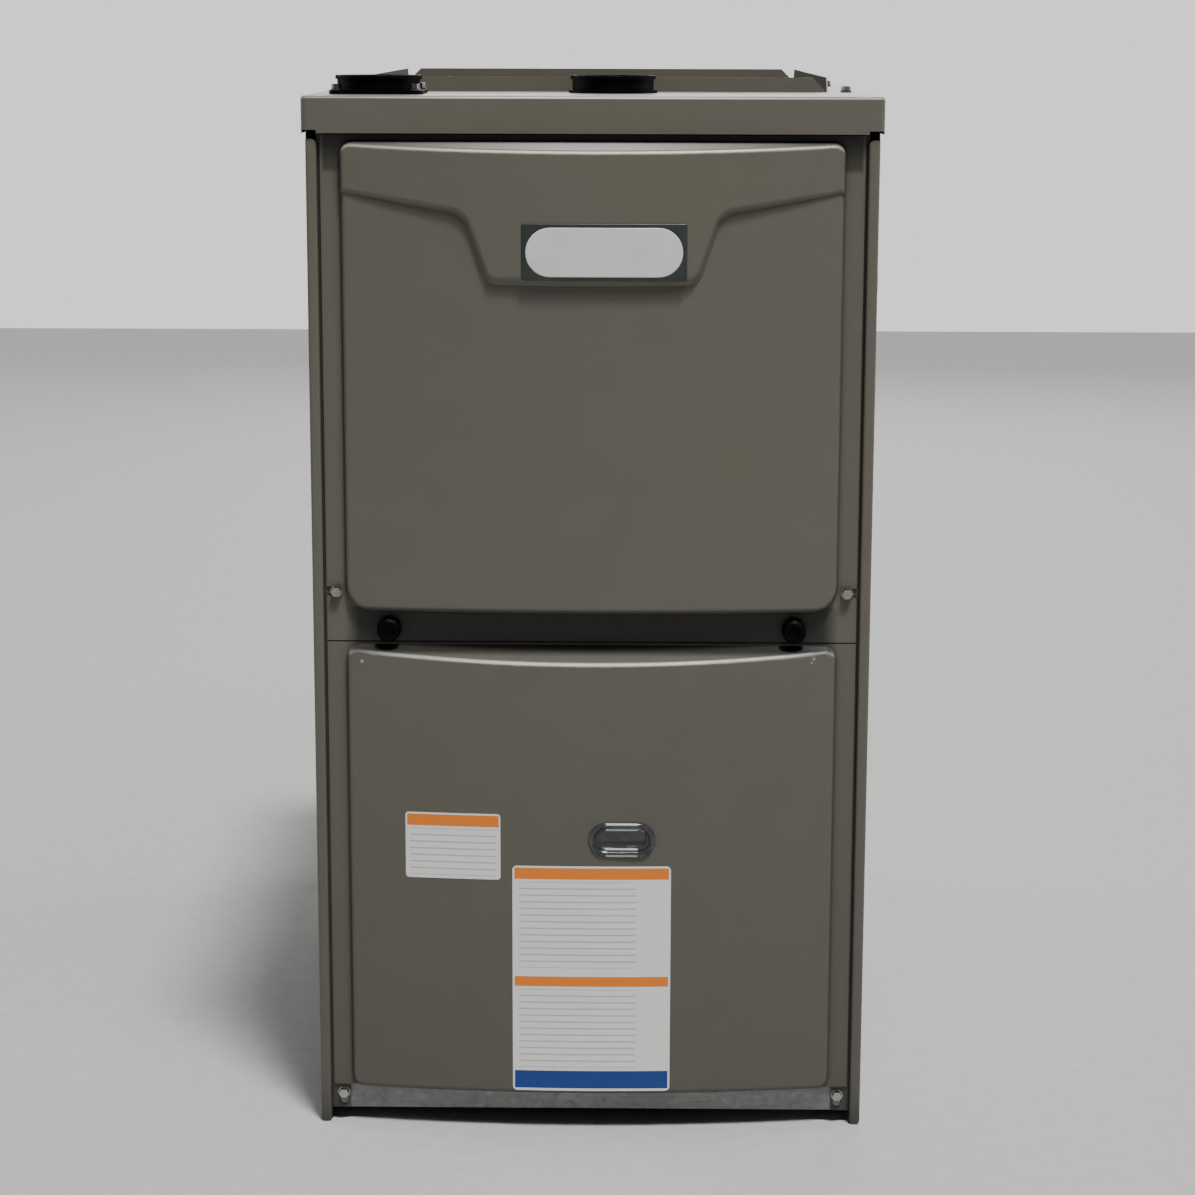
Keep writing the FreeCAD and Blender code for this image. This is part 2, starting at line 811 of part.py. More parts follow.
duct_flanges = []
for low, high in ((duct_low - steel, duct_low), (duct_high, duct_high + steel)):
    duct_flanges.append(prism("duct_cross_flange", "XZ", flange_outline(-duct_half, duct_half), low, high))
for low, high in ((-duct_half - steel, -duct_half), (duct_half, duct_half + steel)):
    duct_flanges.append(prism("duct_side_flange", "YZ", flange_outline(duct_low, duct_high), low, high))
cap_shell = cut("cap_shell", cap_outer, cap_hollow, duct_hole, *collar_holes, *step_boxes)
cap_screw_places = [(side * (half_width - dim("cap_screw_inset")), along) for side in (-1, 1)
                    for along in (duct_low, duct_middle, duct_high)]
cap_screw_holes = [rod("cap_screw_hole", screw_hole, "Z", (x, y, under_cap - over), cap_drill)
                   for x, y in cap_screw_places]
part("top_cap", cut("cap_body", fuse("cap_whole", cap_shell, *duct_flanges), *cap_screw_holes))
cap_screws = [hex_screw("cap_screw%d" % number, 1, (x, y, cabinet_height), dim("cap_screw_length"))
              for number, (x, y) in enumerate(cap_screw_places)]
part("top_cap_screws", group("cap_screw_set", cap_screws))

# Base pan with the return air opening, and its two front screws
rail_top = base_height + dim("base_rail")
base_plate = box("base_plate", (-inside_half, inside_half), (jamb_back, back_flange_front),
                 (base_height, base_top))
base_rail = box("base_rail_sheet", (-inside_half, inside_half), (jamb_back, jamb_back + steel),
                (base_height, rail_top))
base_sides = [box("base_side", span(side * inside_half, side * (inside_half - steel)),
                  (jamb_back, back_flange_front), (base_height, rail_top)) for side in (-1, 1)]
return_half = half_width - dim("return_side")
return_hole = box("return_hole", (-return_half, return_half),
                  (front + dim("return_front"), back - dim("return_back")),
                  (base_height - over, base_top + over))
base_screw_spots = [(side * screw_across, jamb_front, base_screw_up) for side in (-1, 1)]
base_holes = [rod("base_screw_hole", screw_hole, "Y", (x, jamb_front, z), dim("base_screw_length"))
              for x, _, z in base_screw_spots]
part("base_pan", cut("base_body", fuse("base_whole", base_plate, base_rail, *base_sides),
                     return_hole, *base_holes))
base_screws = [hex_screw("base_screw%d" % number, -1, spot, dim("base_screw_length"))
               for number, spot in enumerate(base_screw_spots)]
part("base_screws", group("base_screw_set", base_screws))

# Blower deck: the shelf between the two compartments, with the blower outlet and a front lip
scroll_half = dim("scroll_width") / 2
scroll_growth = dim("scroll_growth")
outlet_low = blower_y - dim("tongue_reach")
outlet_high = blower_y + scroll_start + 4 * scroll_growth
deck_plate = box("deck_plate", (-inside_half, inside_half), (jamb_back, back_flange_front),
                 (deck_under, deck_top))
deck_front = box("deck_front", (-inside_half, inside_half), (jamb_back, jamb_back + steel),
                 (deck_under, deck_top + dim("deck_lip")))
deck_hole = box("deck_hole", (-scroll_half, scroll_half), (outlet_low, outlet_high),
                (deck_under - over, deck_top + over))
stud_radius = dim("stud_radius")
stud_holes = [rod("stud_hole", stud_radius + dim("stud_gap"), "Y",
                  (side * knob_across, jamb_back - over, knob_up), steel + 2 * over)
              for side in (-1, 1)]
part("blower_deck", cut("deck_body", fuse("deck_whole", deck_plate, deck_front), deck_hole, *stud_holes))

# Vestibule panel between the burners and the heat exchanger
window_margin = dim("window_margin")
panel_sheet = box("panel_sheet", (-inside_half, inside_half), (vestibule, vestibule_back),
                  (deck_top, under_cap))
panel_ports = [rod("panel_port", tube_radius - steel, "Y", (x, vestibule - over, burner_up),
                   steel + 2 * over)
               for x in burner_x]
panel_window = box("panel_window", (window_margin - header_half, header_half - window_margin),
                   (vestibule - over, vestibule_back + over),
                   (header_low + window_margin, header_low + dim("coil_rise") - dim("window_top_margin")))
part("vestibule_panel", cut("panel_body", panel_sheet, panel_window, *panel_ports))


# Doors: a flat flange with a pillow pressed out of it, bowed across its width
def bow_radius(bow):
    """The radius of the arc that rises by the bow over the width of a pillow."""
    return (pan_half * pan_half + bow * bow) / (bow * 2)


def bowed_block(name, half, low, high, depth, bow, fall, inset):
    """A block with its front bowed across the width and a top wall that falls towards the front."""
    radius = bow_radius(bow) - inset
    crest = door_face - depth - bow + inset
    lean = fall / dim("lean_run")
    wall_high = high - inset * (lean * lean + 1).root()
    ends = (crest - over, door_back + inset)
    front_high, rear_high = [wall_high + (end - door_face) * lean for end in ends]
    outline = [(ends[1], low), (ends[0], low), (ends[0], front_high), (ends[1], rear_high)]
    block = prism(name + "_block", "YZ", outline, -half, half)
    barrel = rod(name + "_barrel", radius, "Z", (0, crest + radius, low - over), rear_high - low + 2 * over)
    return common(name, block, barrel), radius


def runs_back(edge):
    """True for a straight edge from front to back, level or leaning."""
    return isinstance(edge.Curve, Part.Line) and abs(edge.Curve.Direction.y) > 0.7


def on_bow(edge, shape, radius):
    """True for an edge that bounds the bowed front face."""
    for face in shape.Faces:
        surface = face.Surface
        if isinstance(surface, Part.Cylinder) and near(surface.Radius, radius):
            if any(edge.isSame(item) for item in face.Edges):
                return True
    return False


def pillow(name, low, high, bow, fall, low_corner, inset):
    """The pillow as a solid; inset draws it inside the sheet thickness."""
    half = pan_half - inset
    raw, radius = bowed_block(name + "_raw", half, low + inset, high, dim("pan_depth"), bow, fall, inset)
    doc.recompute()
    middle = float(low + high) / 2

    def corner(edge, upper):
        return runs_back(edge) and (edge.Vertexes[0].Z > middle) == upper

    cornered = round_edges(name + "_cornered", raw,
                           [(dim("small_corner") - inset, lambda edge: corner(edge, True)),
                            (low_corner - inset, lambda edge: corner(edge, False))])
    return round_edges(name, cornered, [(dim("pan_edge") - inset,
                                         lambda edge: on_bow(edge, cornered.Shape, radius))])


def shield(name, high, inset):
    """The raised shield at the top of the upper door."""
    half = pan_half - inset
    side_z = pan_top + inset - dim("shield_side")
    shoulder_z = pan_top + inset - dim("shield_shoulder")
    low_z = pan_top + inset - dim("shield_low")
    shoulder = dim("shoulder_half") - inset
    foot = dim("shield_half") - inset
    outline = [(-half, high + over), (half, high + over), (half, side_z), (shoulder, shoulder_z),
               (foot, low_z), (-foot, low_z), (-shoulder, shoulder_z), (-half, side_z)]
    depth = dim("shield_depth")
    bow = dim("shield_bow")
    slab = prism(name + "_slab", "XZ", outline, door_face - depth - bow - over, door_back + inset)
    bowed, radius = bowed_block(name + "_bowed", half, low_z - over, high, depth, bow, upper_fall, inset)
    raw = common(name + "_raw", slab, bowed)

    def bend(edge):
        return runs_along(edge, "y") and abs(edge.Vertexes[0].X) < float(half) - 1

    def corner(edge):
        return runs_back(edge) and edge.Vertexes[0].Z > float(side_z) + 1

    cornered = round_edges(name + "_cornered", raw, [(dim("small_corner") - inset, corner),
                                                     (dim("shield_round"), bend)])

    def swoop(edge):
        return on_bow(edge, cornered.Shape, radius) and edge.BoundBox.ZMax < float(side_z) + 1

    sloped = slope_edges(name + "_sloped", cornered, dim("shield_slope") - inset * 0.59, swoop)

    def rim(edge):
        return on_bow(edge, sloped.Shape, radius) and edge.BoundBox.ZMax > float(side_z) + 1

    return round_edges(name, sloped, [(dim("shield_edge") - inset, rim)])


flange_y = (door_face, door_back)
door_drill = door_sheet + 2 * over
upper_low = upper_bottom + dim("handle_recess")
large_corner = dim("large_corner")
pan_bow = dim("pan_bow")
upper_fall = dim("upper_fall")
no_inset = as_size(0)
upper_flange = box("upper_flange", (-flange_half, flange_half), flange_y,
                   (upper_bottom, lip_bottom - dim("lip_clear")))
upper_solid = fuse("upper_solid", upper_flange,
                   pillow("upper_pillow", upper_low, pan_top, pan_bow, upper_fall, large_corner, no_inset),
                   shield("upper_shield", pan_top, no_inset))
upper_hollow = fuse("upper_hollow",
                    pillow("upper_inside", upper_low, pan_top, pan_bow, upper_fall, large_corner,
                           door_sheet),
                    shield("shield_inside", pan_top, door_sheet))
notch_radius = screw_radius + dim("notch_gap")
upper_holes = []
for side in (-1, 1):
    upper_holes.append(rod("knob_hole", stud_radius + turn_gap, "Y",
                           (side * knob_across, door_face - over, knob_up), door_drill))
    screw_x = side * screw_across
    upper_holes.append(rod("notch_end", notch_radius, "Y", (screw_x, door_face - over, door_screw_up),
                           door_drill))
    upper_holes.append(box("notch_mouth", span(screw_x, side * (flange_half + over)),
                           (door_face - over, door_back + over),
                           (door_screw_up - notch_radius, door_screw_up + notch_radius)))
part("upper_door", cut("upper_body", upper_solid, upper_hollow, *upper_holes))
door_screws = [hex_screw("door_screw%d" % number, -1, (side * screw_across, door_face, door_screw_up),
                         dim("door_screw_length")) for number, side in enumerate((-1, 1))]
part("upper_door_screws", group("door_screw_set", door_screws))

lower_bow = dim("lower_bow")
lower_fall = dim("lower_fall")
lower_high = lower_top - dim("lower_drop")
small_corner = dim("small_corner")
lower_flange = box("lower_flange", (-flange_half, flange_half), flange_y, (lower_low, lower_top))
lower_solid = fuse("lower_solid", lower_flange,
                   pillow("lower_pillow", lower_low, lower_high, lower_bow, lower_fall, small_corner,
                          no_inset))
lower_hollow = pillow("lower_inside", lower_low, lower_high, lower_bow, lower_fall, small_corner, door_sheet)
lens_round = dim("window_height") / 2
window_round = lens_round - dim("window_frame")
window_reach = (dim("window_width") - dim("window_height")) / 2
lower_crest = door_face - dim("pan_depth") - lower_bow


def stadium(name, radius, low, high):
    bar = box(name + "_bar", (window_x - window_reach, window_x + window_reach), (low, high),
              (window_z - radius, window_z + radius))
    ends = [rod(name + "_end", radius, "Y", (window_x + side * window_reach, low, window_z), high - low)
            for side in (-1, 1)]
    return fuse(name, bar, *ends)


window_hole = stadium("window_hole", window_round, lower_crest - over, lower_crest + 2 * dim("window_plug"))
part("lower_door", cut("lower_body", lower_solid, lower_hollow, window_hole))
lens_flange = stadium("lens_flange", lens_round, lower_crest - dim("window_lip"), lower_crest)
lens_plug = stadium("lens_plug", window_round - rest_gap, lower_crest, lower_crest + dim("window_plug"))
part("sight_window", fuse("window_lens", lens_flange, lens_plug))

# Badge plate, curved to the shield it is bonded to
badge_low = pan_top - dim("shield_low") + dim("badge_rise")
badge_high = badge_low + dim("badge_height")
badge_radius = bow_radius(dim("shield_bow"))
shield_crest = door_face - dim("shield_depth") - dim("shield_bow")
badge_left = dim("badge_centre") - dim("badge_width") / 2
badge_block = box("badge_block", (badge_left, badge_left + dim("badge_width")),
                  (shield_crest - 2 * dim("badge_thick"), shield_crest + dim("shield_depth")),
                  (badge_low, badge_high))
badge_middle = (0, shield_crest + badge_radius, badge_low - over)
badge_tall = dim("badge_height") + 2 * over
badge_outer = rod("badge_outer", badge_radius + dim("badge_thick"), "Z", badge_middle, badge_tall)
badge_inner = rod("badge_inner", badge_radius + hole_gap, "Z", badge_middle, badge_tall)
part("badge_plate", common("badge_body", badge_block, cut("badge_skin", badge_outer, badge_inner)))


# Quarter-turn knobs of the upper door
def door_knob(label, side):
    knob_radius = dim("knob_radius")
    stud_long = dim("stud_length")
    head_depth = dim("knob_length")
    chamfer = dim("knob_chamfer")
    dimple = dim("knob_dimple")
    crown = stud_long + head_depth
    dimple_floor = crown - chamfer * 0.75
    face = door_face - rest_gap
    knob_x = side * knob_across
    profile = [(0, 0), (stud_radius, 0), (stud_radius, stud_long), (knob_radius, stud_long),
               (knob_radius, crown - chamfer), (knob_radius - chamfer, crown), (dimple, crown),
               (dimple * 0.9, dimple_floor), (0, dimple_floor)]
    body = turned(label + "_turned", profile, "Y", (knob_x, face + stud_long, knob_up))
    body.Placement = FreeCAD.Placement(body.Placement.Base, FreeCAD.Rotation(FreeCAD.Vector(1, 0, 0), 90))
    flute = dim("knob_flute")
    reach = knob_radius + flute * 0.36
    grips = []
    for step in range(10):
        angle = math.radians(36 * step)
        grips.append(rod(label + "_grip%d" % step, flute, "Y",
                         (knob_x + reach * math.cos(angle), face - head_depth - over,
                          knob_up + reach * math.sin(angle)), head_depth - over))
    return part(label, cut(label + "_body", body, *grips))


door_knob("left_door_knob", -1)
door_knob("right_door_knob", 1)


# Vent and intake collars, and the pipes below them
stop_top = dim("collar_stop_top")
stop_under = stop_top + dim("collar_stop")
collar_bead = dim("collar_bead")


def collar(label, at, rise):
    """A socket from above and one from below, with a stop ring between them."""
    drop = dim("collar_drop")
    bead_low = rise - dim("collar_bead_rise")
    profile = [(collar_bore, -drop), (collar_outer, -drop), (collar_outer, bead_low),
               (collar_outer + collar_bead, bead_low), (collar_outer + collar_bead, rise),
               (collar_bore, rise),
               (collar_bore, -stop_top), (pipe_bore, -stop_top), (pipe_bore, -stop_under),
               (collar_bore, -stop_under)]
    return turned(label + "_ring", profile, "Z", (at[0], at[1], cabinet_height))


exhaust_ring = collar("exhaust", exhaust_at, dim("exhaust_rise"))
plate_half = collar_outer + dim("plate_margin")
plate_thick = dim("plate_thick")
plate_block = box("plate_block", (exhaust_at[0] - plate_half, exhaust_at[0] + plate_half),
                  (exhaust_at[1] - plate_half, exhaust_at[1] + plate_half),
                  (cabinet_height, cabinet_height + plate_thick))
plate = round_edges("exhaust_plate", plate_block,
                    [(dim("plate_corner"), lambda edge: runs_along(edge, "z"))])
plate_drill = plate_thick + 2 * over
plate_bore = rod("plate_bore", collar_bore, "Z", (exhaust_at[0], exhaust_at[1], cabinet_height - over),
                 plate_drill)
spot_reach = plate_half - dim("plate_screw_inset")
collar_spots = [(exhaust_at[0] + side * spot_reach, exhaust_at[1] + along * spot_reach)
                for side in (-1, 1) for along in (-1, 1)]
collar_spot_holes = [rod("collar_spot_hole", screw_hole, "Z", (x, y, cabinet_height - over), plate_drill)
                     for x, y in collar_spots]
part("exhaust_collar", cut("exhaust_collar_body", fuse("exhaust_collar_whole", exhaust_ring, plate),
                           plate_bore, *collar_spot_holes))
collar_screws = [hex_screw("collar_screw%d" % number, 1, (x, y, cabinet_height + plate_thick), plate_thick)
                 for number, (x, y) in enumerate(collar_spots)]
part("exhaust_collar_screws", group("collar_screw_set", collar_screws))

intake_ring = collar("intake", intake_at, dim("intake_rise"))
intake_plate = tube("intake_plate", collar_outer + 2 * collar_bead, collar_bore, "Z",
                    (intake_at[0], intake_at[1], cabinet_height), dim("intake_ring"))
part("intake_collar", fuse("intake_collar_body", intake_ring, intake_plate))

elbow_radius = pipe_outer + dim("elbow_gap")
spout_socket = dim("spout_socket")
outlet_z = inducer_z + inducer_radius - pipe_outer - dim("spout_drop")
outlet_x = inducer_x - inducer_radius - dim("inducer_spout")
elbow_x = exhaust_at[0] + elbow_radius
elbow_z = outlet_z + elbow_radius
pipe_top = cabinet_height - stop_under


def upright_bend(start):
    """Stands a ring sector in the XZ plane, starting at an angle from +X towards +Z."""
    stand = FreeCAD.Rotation(FreeCAD.Vector(1, 0, 0), 90)
    return FreeCAD.Placement(FreeCAD.Vector(),
                             stand.multiply(FreeCAD.Rotation(FreeCAD.Vector(0, 0, 1), start)))


def ring_bend(name, ring_radius, radius, sweep, stand, at):
    """A bend of round tube: part of a ring, stood up by a placement."""
    bend = doc.addObject("Part::Torus", name)
    bind(bend, "Radius1", ring_radius)
    bind(bend, "Radius2", radius)
    bend.Angle3 = sweep
    bend.Placement = stand
    place(bend, at)
    return bend


def exhaust_run(name, radius, extra):
    """The vent pipe: level out of the inducer, a quarter bend, then straight up."""
    level = rod(name + "_level", radius, "X", (elbow_x, exhaust_at[1], outlet_z),
                outlet_x + spout_socket - elbow_x + extra)
    riser = rod(name + "_riser", radius, "Z", (exhaust_at[0], exhaust_at[1], elbow_z),
                pipe_top - elbow_z + extra)
    bend = ring_bend(name + "_bend", elbow_radius, radius, 90, upright_bend(180),
                     (elbow_x, exhaust_at[1], elbow_z))
    return fuse(name, level, bend, riser)


part("exhaust_pipe", cut("exhaust_pipe_body", exhaust_run("exhaust_outer", pipe_outer, as_size(0)),
                         exhaust_run("exhaust_bore", pipe_bore, over)))
part("intake_pipe", tube("intake_pipe_body", pipe_outer, pipe_bore, "Z",
                         (intake_at[0], intake_at[1], box_high), pipe_top - box_high))

# Burner box, its cover, burners, manifold and gas valve
box_shell = box("box_shell", (-box_half, box_half), (box_front, vestibule), (box_low, box_high))
box_room = box("box_room", (steel - box_half, box_half - steel), (box_front - over, vestibule + over),
               (box_low + steel, box_high - steel))
box_air = rod("box_air", pipe_bore, "Z", (intake_at[0], intake_at[1], box_high - 2 * steel), 4 * steel)
part("burner_box", cut("burner_box_body", box_shell, box_room, box_air))
spud_radius = dim("spud_radius")
cover_margin = dim("cover_margin")
cover_sheet = box("cover_sheet", (-box_half - cover_margin, box_half + cover_margin),
                  (box_front - steel, box_front), (box_low - cover_margin, box_high + cover_margin))
cover_holes = [rod("spud_hole", spud_radius + 2 * hole_gap, "Y", (x, box_front - 2 * steel, burner_up),
                   4 * steel)
               for x in burner_x]
part("burner_box_cover", cut("cover_body", cover_sheet, *cover_holes))
burner_start = box_front + dim("burner_setback")
burner_end = vestibule - dim("burner_gap")
burner_long = burner_end - burner_start
bell_radius = dim("bell_radius")
bell_long = dim("bell_length")
throat_radius = dim("throat_radius")
burner_wall = dim("burner_wall")
nozzle_radius = tube_radius - 2 * burner_wall
neck = burner_long * 0.38
widen = burner_long * 0.65
mouth = burner_long * 0.8
burner_profile = [(bell_radius - burner_wall, 0), (bell_radius, 0), (bell_radius, bell_long),
                  (throat_radius, neck),
                  (throat_radius, widen), (nozzle_radius, mouth), (nozzle_radius, burner_long),
                  (nozzle_radius - burner_wall, burner_long), (nozzle_radius - burner_wall, mouth),
                  (throat_radius - burner_wall, widen), (throat_radius - burner_wall, neck),
                  (bell_radius - burner_wall, bell_long)]
burner_foot = dim("burner_foot")
burners = []
for number, x in enumerate(burner_x):
    throat = turned("burner_tube%d" % number, burner_profile, "Y", (x, burner_start, burner_up))
    foot = box("burner_leg%d" % number, (x - burner_foot / 2, x + burner_foot / 2),
               (burner_start + over, burner_start + bell_long - over),
               (box_low + steel, burner_up - bell_radius + burner_wall / 2))
    burners.append(fuse("burner%d" % number, throat, foot))
part("burners", group("burner_set", burners))
manifold_radius = dim("manifold_radius")
valve_left = box_half + dim("valve_gap")
manifold_left = burner_x[0] - dim("manifold_end")
manifold = rod("manifold_tube", manifold_radius, "X", (manifold_left, gas_y, burner_up),
               valve_left - manifold_left)
spud_start = gas_y + manifold_radius - dim("spud_depth")
spud_long = box_front + dim("spud_reach") - spud_start
spud_seats = [rod("spud_seat", spud_radius, "Y", (x, spud_start, burner_up), spud_long) for x in burner_x]
part("gas_manifold", cut("manifold_body", manifold, *spud_seats))
spuds = [tube("gas_spud%d" % number, spud_radius, dim("spud_bore"), "Y", (x, spud_start, burner_up),
              spud_long)
         for number, x in enumerate(burner_x)]
part("gas_orifices", group("spud_set", spuds))
valve_right = valve_left + dim("valve_width")
valve_front = gas_y - dim("valve_half_depth")
valve_rise = dim("valve_half_rise")
valve_block = box("valve_block", (valve_left, valve_right), (valve_front, gas_y + dim("valve_half_depth")),
                  (burner_up - valve_rise, burner_up + valve_rise))
valve_cast = round_edges("valve_cast", valve_block,
                         [(dim("valve_corner"), lambda edge: runs_along(edge, "y"))])
boss_long = dim("valve_boss_length")
thread_deep = dim("gas_thread_depth")
valve_boss = rod("valve_boss_rod", dim("valve_boss"), "X", (valve_right - over, gas_y, burner_up),
                 boss_long + over)
valve_port = rod("valve_port", dim("gas_thread"), "X",
                 (valve_right + boss_long - thread_deep, gas_y, burner_up),
                 thread_deep + over)
valve_knob_x = (valve_left + valve_right) / 2
valve_knob_z = burner_up + dim("valve_knob_rise")
valve_stem = dim("valve_stem")
stem_deep = dim("valve_stem_depth")
valve_seat = rod("valve_seat", valve_stem + turn_gap, "Y", (valve_knob_x, valve_front - over, valve_knob_z),
                 stem_deep + 2 * over)
part("gas_valve", cut("valve_body", fuse("valve_whole", valve_cast, valve_boss), valve_port, valve_seat))
valve_disc = dim("valve_knob_radius")
disc_thick = dim("valve_knob_thick")
disc_profile = [(0, -stem_deep), (valve_stem, -stem_deep), (valve_stem, rest_gap),
                (valve_disc - over, rest_gap),
                (valve_disc, disc_thick / 2), (valve_disc, disc_thick - over),
                (valve_disc - over, disc_thick),
                (0, disc_thick)]
knob_disc = turned("valve_knob_disc", disc_profile, "Y", (valve_knob_x, valve_front, valve_knob_z))
knob_disc.Placement = FreeCAD.Placement(FreeCAD.Vector(), FreeCAD.Rotation(FreeCAD.Vector(1, 0, 0), 90))
grip_half = dim("valve_grip_half")
knob_bar = box("valve_knob_bar", (valve_knob_x - dim("valve_grip_width") / 2,
                                  valve_knob_x + dim("valve_grip_width") / 2),
               (valve_front - dim("valve_grip_reach"), valve_front - disc_thick + over),
               (valve_knob_z - grip_half, valve_knob_z + grip_half))
part("gas_valve_knob", fuse("valve_knob_body", knob_disc, knob_bar))
grommet_bore = dim("grommet_bore")
grommet_groove = dim("grommet_groove")
grommet_rim = dim("grommet_rim")
grommet_lip = dim("grommet_lip")
groove_low = -steel - hole_gap
grommet_profile = [(grommet_bore, groove_low - grommet_lip), (grommet_rim, groove_low - grommet_lip),
                   (grommet_rim, groove_low), (grommet_groove, groove_low), (grommet_groove, hole_gap),
                   (grommet_rim, hole_gap), (grommet_rim, hole_gap + grommet_lip),
                   (grommet_bore, hole_gap + grommet_lip)]
part("gas_grommet", turned("grommet_body", grommet_profile, "X", (half_width, gas_y, burner_up)))

# Igniter, flame sensor and safety switches
igniter_z = burner_up - dim("igniter_drop")
igniter_y = vestibule - dim("igniter_setback")
igniter_half = dim("igniter_block") / 2
igniter_wall = steel - box_half
igniter_end = igniter_wall + dim("igniter_block_length")
igniter_block = box("igniter_body_block", (igniter_wall, igniter_end),
                    (igniter_y - igniter_half, igniter_y + igniter_half),
                    (igniter_z - igniter_half, igniter_z + igniter_half))
igniter_tip = box("igniter_tip_bar", (igniter_end, igniter_end + dim("igniter_tip")),
                  (igniter_y - igniter_half / 3, igniter_y + igniter_half / 3),
                  (igniter_z - igniter_half * 0.67, igniter_z + igniter_half * 0.67))
part("igniter", fuse("igniter_body", igniter_block, igniter_tip))
sensor_wall = box_half - steel
sensor_long = dim("igniter_block_length")
sensor_block = rod("sensor_block", dim("sensor_radius"), "X",
                   (sensor_wall - sensor_long, igniter_y, igniter_z), sensor_long)
sensor_rod = rod("sensor_wire", dim("sensor_rod"), "X",
                 (sensor_wall - 2 * sensor_long, igniter_y, igniter_z), sensor_long)
part("flame_sensor", fuse("sensor_body", sensor_block, sensor_rod))


def disc_switch(name, at, axis):
    """A snap-disc thermostat: a round can on a small ear plate."""
    radius = dim("disc_radius")
    deep = dim("disc_depth")
    ear = dim("disc_ear")
    ear_half = dim("disc_ear_half")
    thick = dim("disc_ear_thick")
    ear_x = (at[0] - ear, at[0] + ear)
    if axis == "Z":
        can = rod(name + "_can", radius, "Z", at, deep)
        ears = box(name + "_ears", ear_x, (at[1] - ear_half, at[1] + ear_half), (at[2], at[2] + thick))
    else:
        can = rod(name + "_can", radius, "Y", (at[0], at[1] - deep, at[2]), deep)
        ears = box(name + "_ears", ear_x, (at[1] - thick, at[1]), (at[2] - ear_half, at[2] + ear_half))
    return fuse(name, can, ears)


rollout_x = box_half - dim("rollout_inset")
rollout_y = box_front + dim("rollout_setback")
part("rollout_switches", group("rollout_set", [
    disc_switch("rollout%d" % number, (side * rollout_x, rollout_y, box_high), "Z")
    for number, side in enumerate((-1, 1))]))
part("limit_switch", disc_switch("limit_body", (exhaust_at[0], vestibule, burner_up), "Y"))

# Cold end header, inducer and condensate drain
header_wall = dim("header_wall")
header_block = box("header_block", (-header_half, header_half), (header_front, vestibule),
                   (header_low, header_high))
header_cast = round_edges("header_cast", header_block,
                          [(dim("header_corner"), lambda edge: runs_along(edge, "y"))])
header_room = box("header_room", (header_wall - header_half, header_half - header_wall),
                  (header_front + header_wall, vestibule + over),
                  (header_low + header_wall, header_high - header_wall))
inducer_eye = dim("inducer_eye")
part("cold_end_header", cut("header_body", header_cast, header_room,
                            rod("header_eye", inducer_eye, "Y", (inducer_x, header_front - over, inducer_z),
                                header_wall + 2 * over)))
inducer_wall = dim("inducer_wall")
inducer_deep = header_front - inducer_front
inducer_can = rod("inducer_can", inducer_radius, "Y", (inducer_x, inducer_front, inducer_z), inducer_deep)
spout = rod("inducer_spout_rod", collar_outer, "X", (outlet_x, exhaust_at[1], outlet_z),
            inducer_x - outlet_x)
inducer_room = rod("inducer_room", inducer_radius - inducer_wall, "Y",
                   (inducer_x, inducer_front + inducer_wall, inducer_z),
                   inducer_deep - 2 * inducer_wall)
eye_bore = rod("inducer_eye_bore", inducer_eye, "Y",
               (inducer_x, header_front - inducer_wall - over, inducer_z),
               inducer_wall + 2 * over)
spout_bore = rod("spout_bore", collar_bore, "X", (outlet_x - over, exhaust_at[1], outlet_z),
                 inducer_x - outlet_x + over)
shaft_seat = rod("inducer_shaft_seat", dim("inducer_seat"), "Y",
                 (inducer_x, inducer_front - over, inducer_z),
                 inducer_wall + 2 * over)
part("inducer_housing", cut("inducer_body", fuse("inducer_whole", inducer_can, spout),
                            inducer_room, eye_bore, spout_bore, shaft_seat))
motor_front = front + dim("inducer_motor_setback")
motor_deep = inducer_front - motor_front
inducer_shaft_radius = dim("inducer_shaft")
inducer_motor_radius = dim("inducer_motor")
motor_bevel = dim("motor_bevel")
motor_flange = dim("motor_flange")
fan_start = inducer_front + dim("fan_start_gap")
fan_end = header_front - dim("fan_end_gap")
inducer_motor = turned("inducer_motor_can",
                       [(inducer_shaft_radius + turn_gap, 0), (inducer_motor_radius - motor_bevel, 0),
                        (inducer_motor_radius, motor_bevel),
                        (inducer_motor_radius, motor_deep - motor_flange),
                        (inducer_motor_radius + motor_flange, motor_deep - motor_flange),
                        (inducer_motor_radius + motor_flange, motor_deep),
                        (inducer_shaft_radius + turn_gap, motor_deep)],
                       "Y", (inducer_x, motor_front, inducer_z))
part("inducer_motor", inducer_motor)
shaft_inset = dim("shaft_inset")
part("inducer_shaft", rod("inducer_shaft_rod", inducer_shaft_radius, "Y",
                          (inducer_x, motor_front + shaft_inset, inducer_z),
                          fan_end - motor_front - 2 * shaft_inset))
fan_radius = inducer_radius - dim("fan_gap")
fan_sheet = dim("fan_sheet")
fan_hub = dim("fan_hub")
fan_hub_long = dim("fan_hub_length")
fan_disc = turned("fan_disc", [(inducer_shaft_radius, 0), (fan_radius, 0), (fan_radius, fan_sheet),
                               (fan_hub, fan_sheet), (fan_hub, fan_hub_long),
                               (inducer_shaft_radius, fan_hub_long)],
                  "Y", (inducer_x, fan_start, inducer_z))
paddle_root = fan_hub + rest_gap
paddle_size = (fan_radius - paddle_root - over, fan_sheet, dim("paddle_width"))
PADDLES = 12
paddles = [slat("fan_paddle%d" % step, "Y", (inducer_x, fan_start + fan_sheet, inducer_z), paddle_root,
                360.0 / PADDLES * step, 0, paddle_size) for step in range(PADDLES)]
part("inducer_wheel", group("inducer_fan", [fan_disc] + paddles))
trap_left = header_half - dim("trap_inset")
trap_right = trap_left + dim("trap_width")
trap_x = (trap_left + trap_right) / 2
